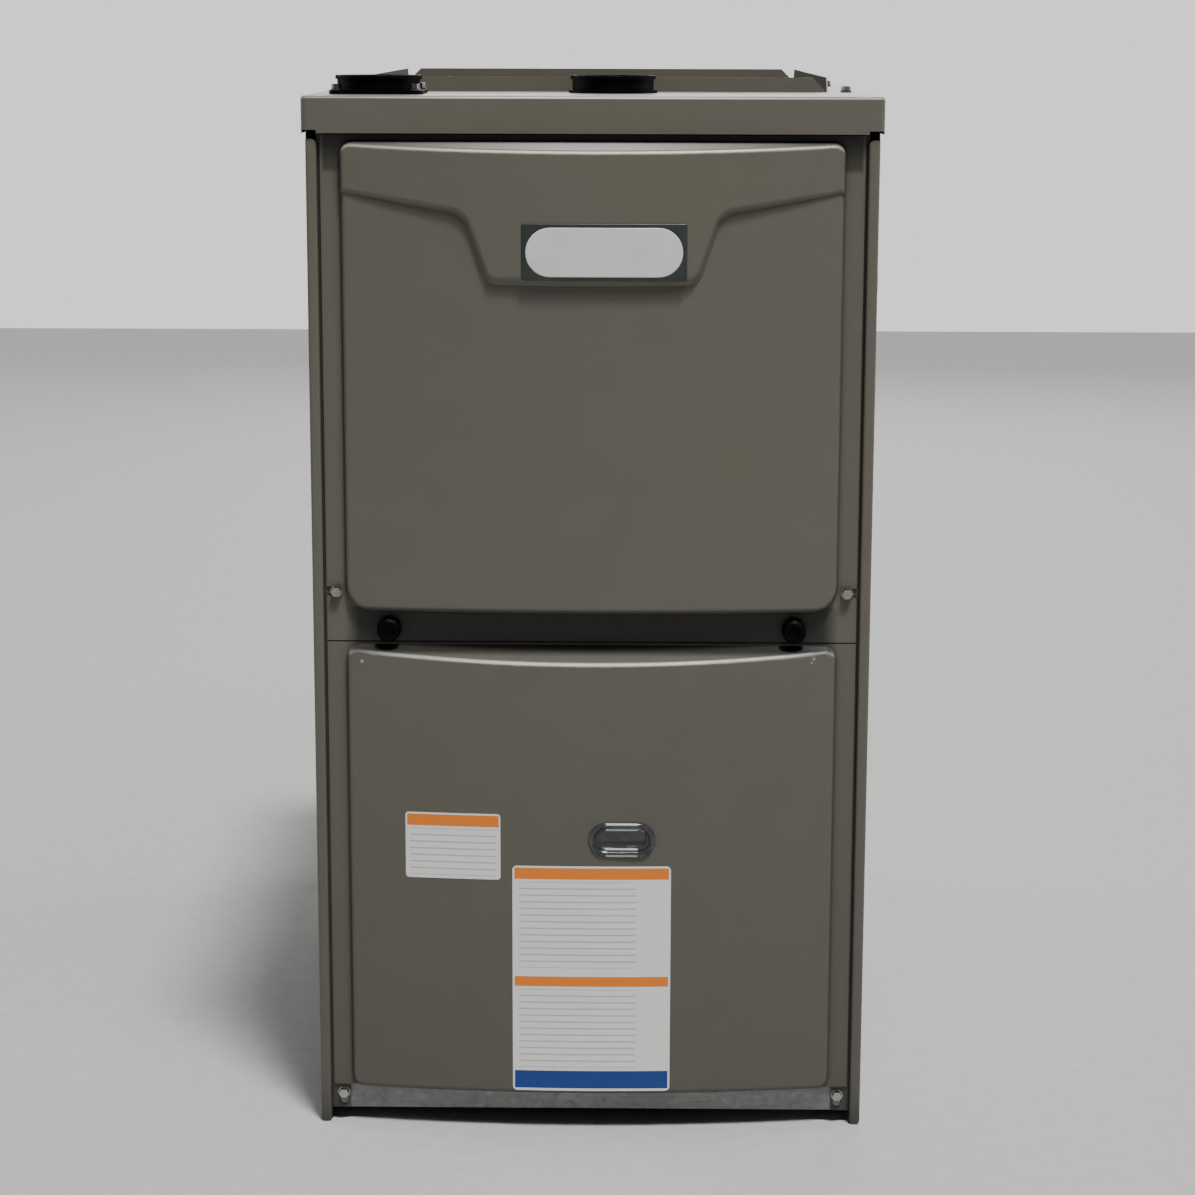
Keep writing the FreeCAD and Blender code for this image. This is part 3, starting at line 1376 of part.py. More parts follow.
trap_front = front + dim("trap_setback")
trap_block = box("trap_block", (trap_left, trap_right), (trap_front, header_front),
                 (deck_top, deck_top + dim("trap_rise")))
trap_cast = round_edges("trap_cast", trap_block, [(dim("trap_corner"), lambda edge: runs_along(edge, "z"))])
drain_long = dim("drain_length")
drain_z = deck_top + dim("drain_rise")
drain_start = trap_front + over - drain_long
drain_bore = dim("drain_bore")
trap_spout = tube("trap_spout", dim("drain_radius"), drain_bore, "Y", (trap_x, drain_start, drain_z),
                  drain_long)
trap_bore = rod("trap_bore", drain_bore, "Y", (trap_x, drain_start - over, drain_z),
                drain_long + 2 * drain_bore)
part("condensate_trap", cut("trap_body", fuse("trap_whole", trap_cast, trap_spout), trap_bore))
switch_x = header_half + dim("switch_side")
switch_z = header_high - dim("switch_drop")
switch_rim = dim("switch_rim")
switch_deep = dim("switch_depth")
switch_radius = dim("switch_radius")
switch_inner = dim("switch_inner")
switch_can = turned("switch_can", [(0, 0), (switch_radius, 0), (switch_radius, switch_rim),
                                   (switch_inner, switch_rim + 2 * over), (switch_inner, switch_deep),
                                   (0, switch_deep)],
                    "Y", (switch_x, vestibule - switch_deep, switch_z))
port_y = vestibule - dim("port_setback")
port_low = switch_z - dim("port_low")
port_long = dim("port_length")
port_radius = dim("port_radius")
switch_port = rod("switch_port", port_radius, "Z", (switch_x, port_y, port_low), port_long)
part("pressure_switch", fuse("switch_body", switch_can, switch_port))
hose_bend = dim("hose_bend")
hose_radius = dim("hose_radius")
hose_turn = header_low + dim("hose_rise")
hose_down = rod("hose_down", hose_radius, "Z", (switch_x, port_y, hose_turn),
                port_low + dim("hose_lap") - hose_turn)
hose_quarter = ring_bend("hose_quarter", hose_bend, hose_radius, 90, upright_bend(270),
                         (switch_x - hose_bend, port_y, hose_turn))
hose_level = rod("hose_level", hose_radius, "X", (header_half, port_y, hose_turn - hose_bend),
                 switch_x - hose_bend - header_half)
hose_port = rod("hose_port", port_radius, "Z", (switch_x, port_y, port_low), port_long)
part("pressure_hose", cut("hose_body", fuse("hose_run", hose_down, hose_quarter, hose_level), hose_port))

# Heat exchanger: serpentine tubes, rear header and the condensing coil
bend_radius = tube_pitch / 2
tube_bore = tube_radius - dim("tube_wall")
rear_header_front = back - dim("rear_setback")
rear_header_back = rear_header_front + dim("rear_depth")
rear_turn = rear_header_front + dim("bend_reach") - bend_radius - tube_radius
front_turn = vestibule_back + dim("front_turn")
tube_levels = [burner_up, burner_up - tube_pitch, burner_up - 2 * tube_pitch]


def serpentine(name, x, radius):
    """Back, down, forward, down and back again."""
    starts = [vestibule_back, front_turn, front_turn]
    ends = [rear_turn, rear_turn, rear_header_front]
    runs = [rod("%s_run%d" % (name, number), radius, "Y", (x, start, level), end - start)
            for number, (level, start, end) in enumerate(zip(tube_levels, starts, ends))]
    for number, (y, level, spin) in enumerate(((rear_turn, tube_levels[0], 0),
                                               (front_turn, tube_levels[1], 180))):
        flip = FreeCAD.Rotation(FreeCAD.Vector(1, 0, 0), spin)
        stand = FreeCAD.Placement(FreeCAD.Vector(), flip.multiply(TURNS["X"]))
        runs.append(ring_bend("%s_bend%d" % (name, number), bend_radius, radius, 180, stand,
                              (x, y, level - bend_radius)))
    return fuse(name, *runs)


exchanger = [cut("exchanger%d" % number, serpentine("tube_outer%d" % number, x, tube_radius),
                 serpentine("tube_bore%d" % number, x, tube_bore))
             for number, x in enumerate(burner_x)]
part("primary_heat_exchanger", group("exchanger_set", exchanger))
rear_wall = dim("rear_wall")
rear_high = tube_levels[2] + tube_radius + dim("rear_margin")
rear_block = box("rear_block", (-coil_half, coil_half), (rear_header_front, rear_header_back),
                 (header_low, rear_high))
rear_cast = round_edges("rear_cast", rear_block, [(dim("rear_corner"), lambda edge: runs_along(edge, "y"))])
rear_room = box("rear_room", (rear_wall - coil_half, coil_half - rear_wall),
                (rear_header_front + rear_wall, rear_header_back - rear_wall),
                (header_low + rear_wall, rear_high - rear_wall))
rear_ports = [rod("rear_port", tube_bore, "Y", (x, rear_header_front - over, tube_levels[2]),
                  rear_wall + 2 * over)
              for x in burner_x]
part("rear_header", cut("rear_body", rear_cast, rear_room, *rear_ports))
coil_block = box("coil_block", (-coil_half, coil_half), (vestibule_back, rear_header_front),
                 (coil_low, coil_high))
coil_end = dim("coil_end")
fin_depth = (dim("coil_rise") - dim("coil_core")) / 2
FIN_SLOTS = 36
slot_step = (rear_header_front - vestibule_back) / FIN_SLOTS
slot_half = slot_step * 0.43
fin_slots = []
for step in range(FIN_SLOTS):
    slot_middle = vestibule_back + slot_step * (step + 0.5)
    for low, high in ((coil_low - over, coil_low + fin_depth), (coil_high - fin_depth, coil_high + over)):
        fin_slots.append(box("fin_slot", (coil_end - coil_half, coil_half - coil_end),
                             (slot_middle - slot_half, slot_middle + slot_half), (low, high)))
part("secondary_coil", cut("coil_body", coil_block, *fin_slots))


# Blower: scroll housing, wheel, motor and mount
def scroll_face(inset):
    """The scroll outline in (Y, Z): a spiral of quarter arcs with an outlet up to the deck."""
    start = float(scroll_start)
    growth = float(scroll_growth)
    top = float(deck_under - blower_z)
    edges = []
    # each quarter turns about a centre shifted so that the next one is tangent to it
    centre = FreeCAD.Vector(0, 0, 0)
    radius = start - inset
    headings = [FreeCAD.Vector(-1, 0, 0), FreeCAD.Vector(0, -1, 0), FreeCAD.Vector(1, 0, 0)]
    for quarter in range(2):
        begin = headings[quarter]
        finish = headings[quarter + 1]
        half = (begin + finish).normalize()
        edges.append(Part.Arc(centre + begin * radius, centre + half * radius,
                              centre + finish * radius).toShape())
        point = centre + finish * radius
        centre = centre - finish * 2 * growth
        radius = radius + 2 * growth
    corner = FreeCAD.Vector(point.x, top, 0)
    low_side = float(outlet_low - blower_y) + inset
    lip = FreeCAD.Vector(low_side, top, 0)
    tongue = FreeCAD.Vector(low_side, start * 0.86 - inset, 0)
    nose = FreeCAD.Vector(-(start - inset), 0, 0)
    edges.append(Part.makeLine(point, corner))
    edges.append(Part.makeLine(corner, lip))
    edges.append(Part.makeLine(lip, tongue))
    swell = FreeCAD.Vector(-(start - inset) * 0.86, (start - inset) * 0.5, 0)
    edges.append(Part.Arc(tongue, swell, nose).toShape())
    return Part.Face(Part.Wire(edges))


scroll_turn = FreeCAD.Rotation(FreeCAD.Vector(0, 1, 0), FreeCAD.Vector(0, 0, 1), FreeCAD.Vector(1, 0, 0),
                               "ZXY")


def scroll_solid(inset, width):
    solid = scroll_face(inset).extrude(FreeCAD.Vector(0, 0, width))
    solid.Placement = FreeCAD.Placement(FreeCAD.Vector(-width / 2, 0, 0), scroll_turn)
    return solid


wheel_outer = scroll_start - dim("wheel_gap")
housing_width = float(dim("scroll_width"))
housing_sheet = float(dim("scroll_sheet"))
inlet_radius = float(wheel_outer - dim("inlet_lap"))
housing = scroll_solid(0.0, housing_width).cut(scroll_solid(housing_sheet,
                                                            housing_width - 2 * housing_sheet))
throat_low = float(outlet_low - blower_y) + housing_sheet
throat_high = float(scroll_start + 2 * scroll_growth) - housing_sheet
throat = Part.makeBox(housing_width - 2 * housing_sheet, throat_high - throat_low, 4 * housing_sheet,
                      FreeCAD.Vector(-housing_width / 2 + housing_sheet, throat_low,
                                     float(deck_under - blower_z) - 3 * housing_sheet))
inlets = Part.makeCylinder(inlet_radius, housing_width + 2 * housing_sheet,
                           FreeCAD.Vector(-housing_width / 2 - housing_sheet, 0, 0),
                           FreeCAD.Vector(1, 0, 0))
housing_piece = doc.addObject("Part::Feature", "housing_shape")
housing_piece.Shape = housing.cut(throat).cut(inlets)
place(housing_piece, (0, blower_y, blower_z))
part("blower_housing", housing_piece)

# The wheel draws air from both sides: a middle disc with a row of slats on each face
shaft_radius = dim("shaft_radius")
wheel_half = dim("scroll_width") / 2 - dim("wheel_side_gap")
wheel_ring = dim("wheel_ring")
blade_sheet = dim("blade_sheet")
blade_chord = dim("blade_chord")
wheel_hub = dim("wheel_hub")
hub_half = dim("wheel_hub_length") / 2
disc_x = -dim("wheel_disc_shift")
blade_root = wheel_outer - blade_chord - blade_sheet
wheel_disc = turned("wheel_disc", [(shaft_radius, -hub_half), (wheel_hub, -hub_half),
                                   (wheel_hub, -blade_sheet),
                                   (wheel_outer, -blade_sheet), (wheel_outer, blade_sheet),
                                   (wheel_hub, blade_sheet),
                                   (wheel_hub, hub_half), (shaft_radius, hub_half)],
                    "X", (disc_x, blower_y, blower_z))
wheel_pieces = [wheel_disc]
for name, start in (("wheel_left_ring", -wheel_half), ("wheel_right_ring", wheel_half - wheel_ring)):
    wheel_pieces.append(tube(name, wheel_outer, blade_root, "X", (start, blower_y, blower_z), wheel_ring))
BLADES = 36
BLADE_LEAN = 35
left_row = (wheel_ring - wheel_half, disc_x - blade_sheet)
right_row = (disc_x + blade_sheet, wheel_half - wheel_ring)
for row_name, (low, high) in (("left_blade", left_row), ("right_blade", right_row)):
    for step in range(BLADES):
        wheel_pieces.append(slat("%s%d" % (row_name, step), "X", (low, blower_y, blower_z), blade_root,
                                 360.0 / BLADES * step, BLADE_LEAN, (blade_chord, blade_sheet, high - low)))
part("blower_wheel", group("wheel_set", wheel_pieces))
motor_radius = dim("motor_radius")
motor_start = dim("motor_start")
motor_long = dim("motor_length")
shoulder = motor_radius - dim("motor_shoulder")
shoulder_long = dim("motor_shoulder_length")
motor = turned("motor_can", [(shaft_radius + turn_gap, 0), (shoulder, 0), (motor_radius, shoulder_long),
                             (motor_radius, motor_long - shoulder_long), (shoulder, motor_long),
                             (shaft_radius + turn_gap, motor_long)], "X", (motor_start, blower_y, blower_z))
part("blower_motor", motor)
shaft_start = -dim("shaft_overhang")
shaft_end = motor_start + motor_long - 3 * shaft_inset
part("blower_shaft", rod("blower_shaft_rod", shaft_radius, "X", (shaft_start, blower_y, blower_z),
                         shaft_end - shaft_start))
band = tube("mount_band", motor_radius + dim("band_sheet"), motor_radius, "X",
            (scroll_half - dim("band_lap"), blower_y, blower_z), dim("band_width"))
arm_half = dim("arm_width") / 2
mount_pieces = [band]
for number, angle in enumerate((90, 210, 330)):
    arm = box("mount_arm%d" % number, (scroll_half, scroll_half + dim("arm_sheet")), (-arm_half, arm_half),
              (motor_radius + dim("band_sheet") / 4, wheel_outer + dim("arm_lap")))
    turned_arm = group("arm_set%d" % number, [arm])
    turned_arm.Placement = FreeCAD.Placement(FreeCAD.Vector(),
                                             FreeCAD.Rotation(FreeCAD.Vector(1, 0, 0), angle))
    place(turned_arm, (0, blower_y, blower_z))
    mount_pieces.append(turned_arm)
part("motor_mount", fuse("mount_body", *mount_pieces))
rail_reach = scroll_start + dim("rail_overhang")
rail_y = (blower_y - rail_reach, blower_y + rail_reach)
rail_sheet = dim("rail_sheet")
rails = []
for number, side in enumerate((-1, 1)):
    rail_in = scroll_half + dim("rail_gap")
    shelf = box("rail_shelf%d" % number, span(side * rail_in, side * (rail_in + dim("rail_width"))), rail_y,
                (deck_under - rail_sheet, deck_under))
    web = box("rail_web%d" % number, span(side * rail_in, side * (rail_in + rail_sheet)), rail_y,
              (deck_under - dim("rail_rise"), deck_under))
    rails.append(fuse("blower_rail%d" % number, shelf, web))
part("blower_rails", group("rail_set", rails))

# Controls in the blower compartment
panel_left = window_x - dim("panel_left")
panel_right = window_x + dim("panel_right")
panel_y = front + dim("panel_setback")
control_sheet = box("control_sheet", (panel_left, panel_right), (panel_y, panel_y + steel),
                    (window_z - dim("panel_drop"), deck_under))
control_flange = box("control_flange", (panel_left, panel_right), (panel_y, panel_y + dim("panel_flange")),
                     (deck_under - steel, deck_under))
part("control_panel", fuse("control_panel_body", control_sheet, control_flange))
board_half = dim("board_half")
board_rise = dim("board_half_rise")
board_y = panel_y - dim("standoff_length")
board_face = board_y - dim("board_thick")
board_right = window_x + board_half
part("control_board", box("board_sheet", (window_x - board_half, board_right), (board_face, board_y),
                          (window_z - board_rise, window_z + board_rise)))
post_across = board_half - dim("standoff_inset")
post_up = board_rise - dim("standoff_inset")
posts = [rod("standoff%d" % number, dim("standoff_radius"), "Y",
             (window_x + across * post_across, board_y, window_z + rise * post_up), panel_y - board_y)
         for number, (across, rise) in enumerate(((-1, -1), (1, -1), (-1, 1), (1, 1)))]
part("board_standoffs", group("standoff_set", posts))
# width, depth, height, place across and place up of each component, as shares of the board's half width
BOARD_ITEMS = [(0.37, 0.21, 0.27, -0.61, 0.43), (0.37, 0.21, 0.27, -0.16, 0.43),
               (0.24, 0.19, 0.2, 0.27, 0.45),
               (1.33, 0.12, 0.12, 0.11, -0.59), (0.29, 0.16, 0.13, 0.72, 0.4),
               (0.19, 0.08, 0.19, -0.13, -0.11),
               (0.45, 0.13, 0.11, -0.64, -0.21), (0.16, 0.24, 0.16, 0.64, -0.13)]
items = []
for number, shares in enumerate(BOARD_ITEMS):
    wide, deep, tall, across, rise = [board_half * share for share in shares]
    items.append(box("board_item%d" % number,
                     (window_x + across - wide / 2, window_x + across + wide / 2),
                     (board_face - deep, board_face),
                     (window_z + rise - tall / 2, window_z + rise + tall / 2)))
part("board_components", group("board_item_set", items))
core_left = board_right + dim("transformer_gap")
core_front = panel_y - dim("transformer_depth")
core_rise = dim("transformer_half_rise")
winding_inset = dim("winding_inset")
winding_rise = core_rise - dim("winding_drop")
core = box("transformer_block", (core_left, panel_right), (core_front, panel_y),
           (window_z - core_rise, window_z + core_rise))
winding = box("transformer_winding", (core_left + winding_inset, panel_right - winding_inset),
              (core_front - dim("winding_proud"), panel_y - winding_inset),
              (window_z - winding_rise, window_z + winding_rise))
part("transformer", fuse("transformer_body", core, winding))
door_switch_reach = pan_half - dim("door_switch_inset")
door_switch_x = -door_switch_reach
door_switch_half = dim("door_switch_half")
door_switch_front = front + dim("door_switch_setback")
plunger_z = seam - dim("door_switch_drop")
plunger_radius = dim("plunger_radius")
switch_block = box("switch_block", (door_switch_x - door_switch_half, door_switch_x + door_switch_half),
                   (door_switch_front, door_switch_front + dim("door_switch_depth")),
                   (plunger_z - door_switch_half - 2 * over, deck_under))
switch_bore = rod("switch_bore", plunger_radius + turn_gap, "Y",
                  (door_switch_x, door_switch_front - over, plunger_z),
                  dim("plunger_bore_depth") + over)
part("door_switch", cut("door_switch_body", switch_block, switch_bore))
lower_radius = bow_radius(lower_bow)
sag_reach = door_switch_reach + plunger_radius
arc_rise = (lower_radius * lower_radius - sag_reach * sag_reach).root()
door_inside = lower_crest + door_sheet + lower_radius - arc_rise
plunger_tip = door_inside + rest_gap
part("door_switch_plunger", rod("plunger_rod", plunger_radius, "Y", (door_switch_x, plunger_tip, plunger_z),
                                door_switch_front + dim("plunger_sunk") - plunger_tip))
junction_left = inside_half - dim("junction_width")
junction_front = front + dim("junction_setback")
junction_back = junction_front + dim("junction_depth")
junction_rise = dim("junction_half_rise")
junction_lap = dim("junction_lap")
junction_shell = box("junction_shell", (junction_left, inside_half),
                     (junction_front + steel, junction_back),
                     (power_up - junction_rise, power_up + junction_rise))
junction_room = box("junction_room", (junction_left + steel, inside_half - steel),
                    (junction_front, junction_back - steel),
                    (power_up - junction_rise + steel, power_up + junction_rise - steel))
junction_hole = rod("junction_hole", dim("power_radius"), "X",
                    (inside_half - 2 * steel, power_y, power_up), 4 * steel)
part("junction_box", cut("junction_body", junction_shell, junction_room, junction_hole))
part("junction_cover", box("cover_plate", (junction_left - junction_lap, inside_half - junction_lap),
                           (junction_front, junction_front + steel),
                           (power_up - junction_rise - junction_lap,
                            power_up + junction_rise + junction_lap)))

# Check every object, then write one file per piece
doc.recompute()
for obj in doc.Objects:
    if "Invalid" in obj.State or "Error" in obj.State:
        raise RuntimeError("object %s is in error: %s" % (obj.Name, obj.State))
for obj in parts:
    if obj.Shape.isNull() or not obj.Shape.isValid():
        raise RuntimeError("piece %s has no valid shape" % obj.Label)
os.makedirs("parts", exist_ok=True)
for obj in parts:
    obj.Shape.exportStep("parts/%s.step" % obj.Label)
print("%d pieces written" % len(parts))
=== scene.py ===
import json
import math

import bmesh
import bpy
from mathutils import Matrix, Vector


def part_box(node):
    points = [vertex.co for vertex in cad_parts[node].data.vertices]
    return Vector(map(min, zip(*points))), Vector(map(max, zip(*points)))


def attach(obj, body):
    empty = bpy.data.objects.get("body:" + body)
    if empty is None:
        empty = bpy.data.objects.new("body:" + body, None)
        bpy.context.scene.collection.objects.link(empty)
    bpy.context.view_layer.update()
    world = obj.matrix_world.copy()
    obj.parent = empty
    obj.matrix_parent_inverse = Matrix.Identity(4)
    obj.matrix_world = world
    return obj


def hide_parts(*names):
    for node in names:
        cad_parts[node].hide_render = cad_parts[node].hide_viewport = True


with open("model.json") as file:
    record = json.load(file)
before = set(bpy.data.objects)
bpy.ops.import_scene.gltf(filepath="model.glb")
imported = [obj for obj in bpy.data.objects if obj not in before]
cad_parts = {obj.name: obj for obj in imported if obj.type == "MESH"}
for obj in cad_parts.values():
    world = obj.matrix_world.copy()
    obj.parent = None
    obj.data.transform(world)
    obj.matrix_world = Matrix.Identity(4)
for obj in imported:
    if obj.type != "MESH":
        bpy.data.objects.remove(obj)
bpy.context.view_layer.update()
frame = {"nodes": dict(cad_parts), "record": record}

# Camera, fitted to the cabinet corners in the photograph
CAMERA_PLACE = Vector((0.0285, -2.5838, 0.8896))
CAMERA_YAW = math.radians(-0.605)
CAMERA_PITCH = math.radians(-11.252)
CAMERA_ROLL = math.radians(0.157)
CAMERA_LENS = 86.2
CAMERA_SENSOR = 36.0


def make_camera():
    data = bpy.data.cameras.new("photo_camera")
    data.lens = CAMERA_LENS
    data.sensor_width = CAMERA_SENSOR
    camera = bpy.data.objects.new("photo_camera", data)
    bpy.context.scene.collection.objects.link(camera)
    forward = Vector((math.sin(CAMERA_YAW) * math.cos(CAMERA_PITCH),
                      math.cos(CAMERA_YAW) * math.cos(CAMERA_PITCH),
                      math.sin(CAMERA_PITCH)))
    right = Vector((math.cos(CAMERA_YAW), -math.sin(CAMERA_YAW), 0.0))
    up = right.cross(forward)
    tilted_right = math.cos(CAMERA_ROLL) * right + math.sin(CAMERA_ROLL) * up
    tilted_up = math.cos(CAMERA_ROLL) * up - math.sin(CAMERA_ROLL) * right
    turn = Matrix((tilted_right, tilted_up, -forward)).transposed()
    camera.matrix_world = Matrix.Translation(CAMERA_PLACE) @ turn.to_4x4()
    bpy.context.scene.camera = camera


make_camera()


# Materials, built from nodes in each piece's own coordinates
class Finish:
    """A material under construction, with short calls for the nodes it needs."""

    def __init__(self, name, rough=0.5, metal=0.0):
        self.material = bpy.data.materials.new(name)
        self.material.use_nodes = True
        self.tree = self.material.node_tree
        self.surface = self.tree.nodes["Principled BSDF"]
        self.surface.inputs["Roughness"].default_value = rough
        self.surface.inputs["Metallic"].default_value = metal
        self.place = self.add("ShaderNodeTexCoord").outputs["Object"]

    def add(self, kind, **settings):
        node = self.tree.nodes.new(kind)
        for key, value in settings.items():
            setattr(node, key, value)
        return node

    def feed(self, socket, value):
        if isinstance(value, bpy.types.NodeSocket):
            self.tree.links.new(value, socket)
        elif isinstance(value, (tuple, list)) and socket.type == "RGBA":
            socket.default_value = (*value[:3], 1.0)
        else:
            socket.default_value = value

    def put(self, name, value):
        self.feed(self.surface.inputs[name], value)

    def stretched(self, scale):
        mapping = self.add("ShaderNodeMapping")
        self.feed(mapping.inputs["Vector"], self.place)
        mapping.inputs["Scale"].default_value = scale
        return mapping.outputs["Vector"]

    def noise(self, scale, detail=3.0, rough=0.55, stretch=None):
        node = self.add("ShaderNodeTexNoise")
        self.feed(node.inputs["Vector"], self.stretched(stretch) if stretch else self.place)
        node.inputs["Scale"].default_value = scale
        node.inputs["Detail"].default_value = detail
        node.inputs["Roughness"].default_value = rough
        return node.outputs["Fac"]

    def cells(self, scale, output="Color", feature="F1"):
        node = self.add("ShaderNodeTexVoronoi", feature=feature)
        wander = self.add("ShaderNodeTexNoise")
        self.feed(wander.inputs["Vector"], self.place)
        wander.inputs["Scale"].default_value = scale * 1.7
        shifted = self.add("ShaderNodeMix", data_type="VECTOR")
        shifted.inputs[0].default_value = 0.006
        self.feed(shifted.inputs[4], self.place)
        self.feed(shifted.inputs[5], wander.outputs["Color"])
        self.feed(node.inputs["Vector"], shifted.outputs[1])
        node.inputs["Scale"].default_value = scale
        return node.outputs[output]

    def span(self, value, low, high, out_low=0.0, out_high=1.0):
        node = self.add("ShaderNodeMapRange")
        self.feed(node.inputs["Value"], value)
        limits = {"From Min": low, "From Max": high, "To Min": out_low, "To Max": out_high}
        for key, number in limits.items():
            node.inputs[key].default_value = number
        return node.outputs["Result"]

    def reckon(self, kind, first, second=0.0):
        node = self.add("ShaderNodeMath", operation=kind)
        self.feed(node.inputs[0], first)
        self.feed(node.inputs[1], second)
        return node.outputs["Value"]

    def product(self, first, *others):
        for other in others:
            first = self.reckon("MULTIPLY", first, other)
        return first

    def inside(self, value, start, end, soft):
        """One between two values and nothing outside them, with soft ends."""
        rise = self.span(value, start - soft, start + soft)
        fall = self.span(value, end - soft, end + soft, 1.0, 0.0)
        return self.product(rise, fall)

    def blend(self, factor, first, second):
        node = self.add("ShaderNodeMix", data_type="RGBA")
        self.feed(node.inputs[0], factor)
        self.feed(node.inputs[6], first)
        self.feed(node.inputs[7], second)
        return node.outputs[2]

    def axes(self):
        node = self.add("ShaderNodeSeparateXYZ")
        self.feed(node.inputs["Vector"], self.place)
        return node.outputs["X"], node.outputs["Y"], node.outputs["Z"]

    def facing(self, axis):
        """How far the surface itself faces along one of the axes."""
        normal = self.add("ShaderNodeNewGeometry").outputs["Normal"]
        node = self.add("ShaderNodeSeparateXYZ")
        self.feed(node.inputs["Vector"], normal)
        return node.outputs[axis]

    def corner_shade(self, reach):
        """One in the open, falling to nothing in corners narrower than the reach."""
        node = self.add("ShaderNodeAmbientOcclusion", samples=6)
        node.inputs["Distance"].default_value = reach
        return node.outputs["AO"]

    def near(self, point, reach):
        """One at a point, falling to nothing at the reach round it."""
        node = self.add("ShaderNodeVectorMath", operation="DISTANCE")
        self.feed(node.inputs[0], self.place)
        node.inputs[1].default_value = point
        return self.span(node.outputs["Value"], reach, reach * 0.6)

    def bump(self, height, depth, strength=1.0):
        node = self.add("ShaderNodeBump")
        node.inputs["Strength"].default_value = strength
        node.inputs["Distance"].default_value = depth
        self.feed(node.inputs["Height"], height)
        self.feed(self.surface.inputs["Normal"], node.outputs["Normal"])


# The cap's top face, above which the painted shade in the seams is mostly held off
CAP_TOP = 0.838
# The strip between the two doors, where the knobs stand and the upper door's shadow is painted
RECESS_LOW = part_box("left_door_knob")[0][2] - 0.007
RECESS_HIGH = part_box("left_door_knob")[1][2] + 0.008
RECESS_HALF = 0.186
# The set-back flange of the upper door, on which a shadow of the cap's lip is painted
DOOR_SHEET = 0.0010
FLANGE_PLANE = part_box("upper_door")[1][1] - DOOR_SHEET
FLANGE_HALF = 0.210
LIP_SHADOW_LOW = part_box("top_cap")[0][2] - 0.029
# Paint in front of this depth is on the cabinet's front
FRONT_DEPTH = -0.31
# Painted shade that darkens the paint towards the bottom fades out at this height
BOTTOM_SHADE_TOP = 0.45
# Small chips in the paint of the lower door, seen in the photograph: place and reach
CHIPS = [((-0.1837, -0.3474, 0.3918), 0.0017), ((0.1781, -0.3482, 0.3955), 0.0013),
         ((0.1765, -0.3484, 0.3923), 0.0010), ((-0.1935, -0.3440, 0.3700), 0.0008)]

# Colours of paint, dust, chips, painted highlights and painted shade
PAINT_WARM = (0.126, 0.113, 0.087)
PAINT_COOL = (0.114, 0.110, 0.091)
PAINT_CLOUD = (0.155, 0.147, 0.128)
PAINT_SPECK = (0.085, 0.08, 0.068)
DUST = (0.5, 0.48, 0.43)
HIGHLIGHT_COLOUR = (0.72, 0.70, 0.65)
PAINT_SHADE_COLOUR = (0.006, 0.0055, 0.005)
BOTTOM_SHADE_COLOUR = (0.030, 0.029, 0.026)
CHIPPED_PAINT = (0.34, 0.33, 0.3)
METAL_SHADE_COLOUR = (0.02, 0.02, 0.02)
ZINC_SMUDGE = (0.16, 0.155, 0.15)

# How far into a seam painted shade reaches on each kind of surface
PAINT_SHADE_REACH = 0.050
ZINC_SHADE_REACH = 0.010
METAL_SHADE_REACH = 0.004


def dust_and_painted_highlights(paint, colour, off_middle):
    """Dust on level faces, and painted highlights along rounded top edges and sloped top walls that fade out
    to the sides.
    """
    upward = paint.facing("Z")
    level = paint.span(upward, 0.965, 0.995)
    dust = paint.product(level, paint.span(paint.noise(60.0), 0.3, 0.6, 0.38, 0.5))
    colour = paint.blend(dust, colour, DUST)
    # Painted highlight: pale colour along rounded top edges, strongest in the middle and fading to the
    # sides.
    rounded = paint.product(paint.span(upward, 0.2, 0.45), paint.span(upward, 0.62, 0.86, 1.0, 0.0))
    edge_highlight = paint.product(rounded, paint.span(off_middle, 0.07, 0.19, 0.85, 0.25))
    colour = paint.blend(edge_highlight, colour, HIGHLIGHT_COLOUR)
    # Painted highlight: pale colour on sloped top walls, only in the middle.
    slope_highlight = paint.product(paint.span(upward, 0.925, 0.945), paint.span(upward, 0.965, 0.98, 1.0, 0.0),
                           paint.span(off_middle, 0.03, 0.17, 0.5, 0.0))
    return paint.blend(slope_highlight, colour, HIGHLIGHT_COLOUR)


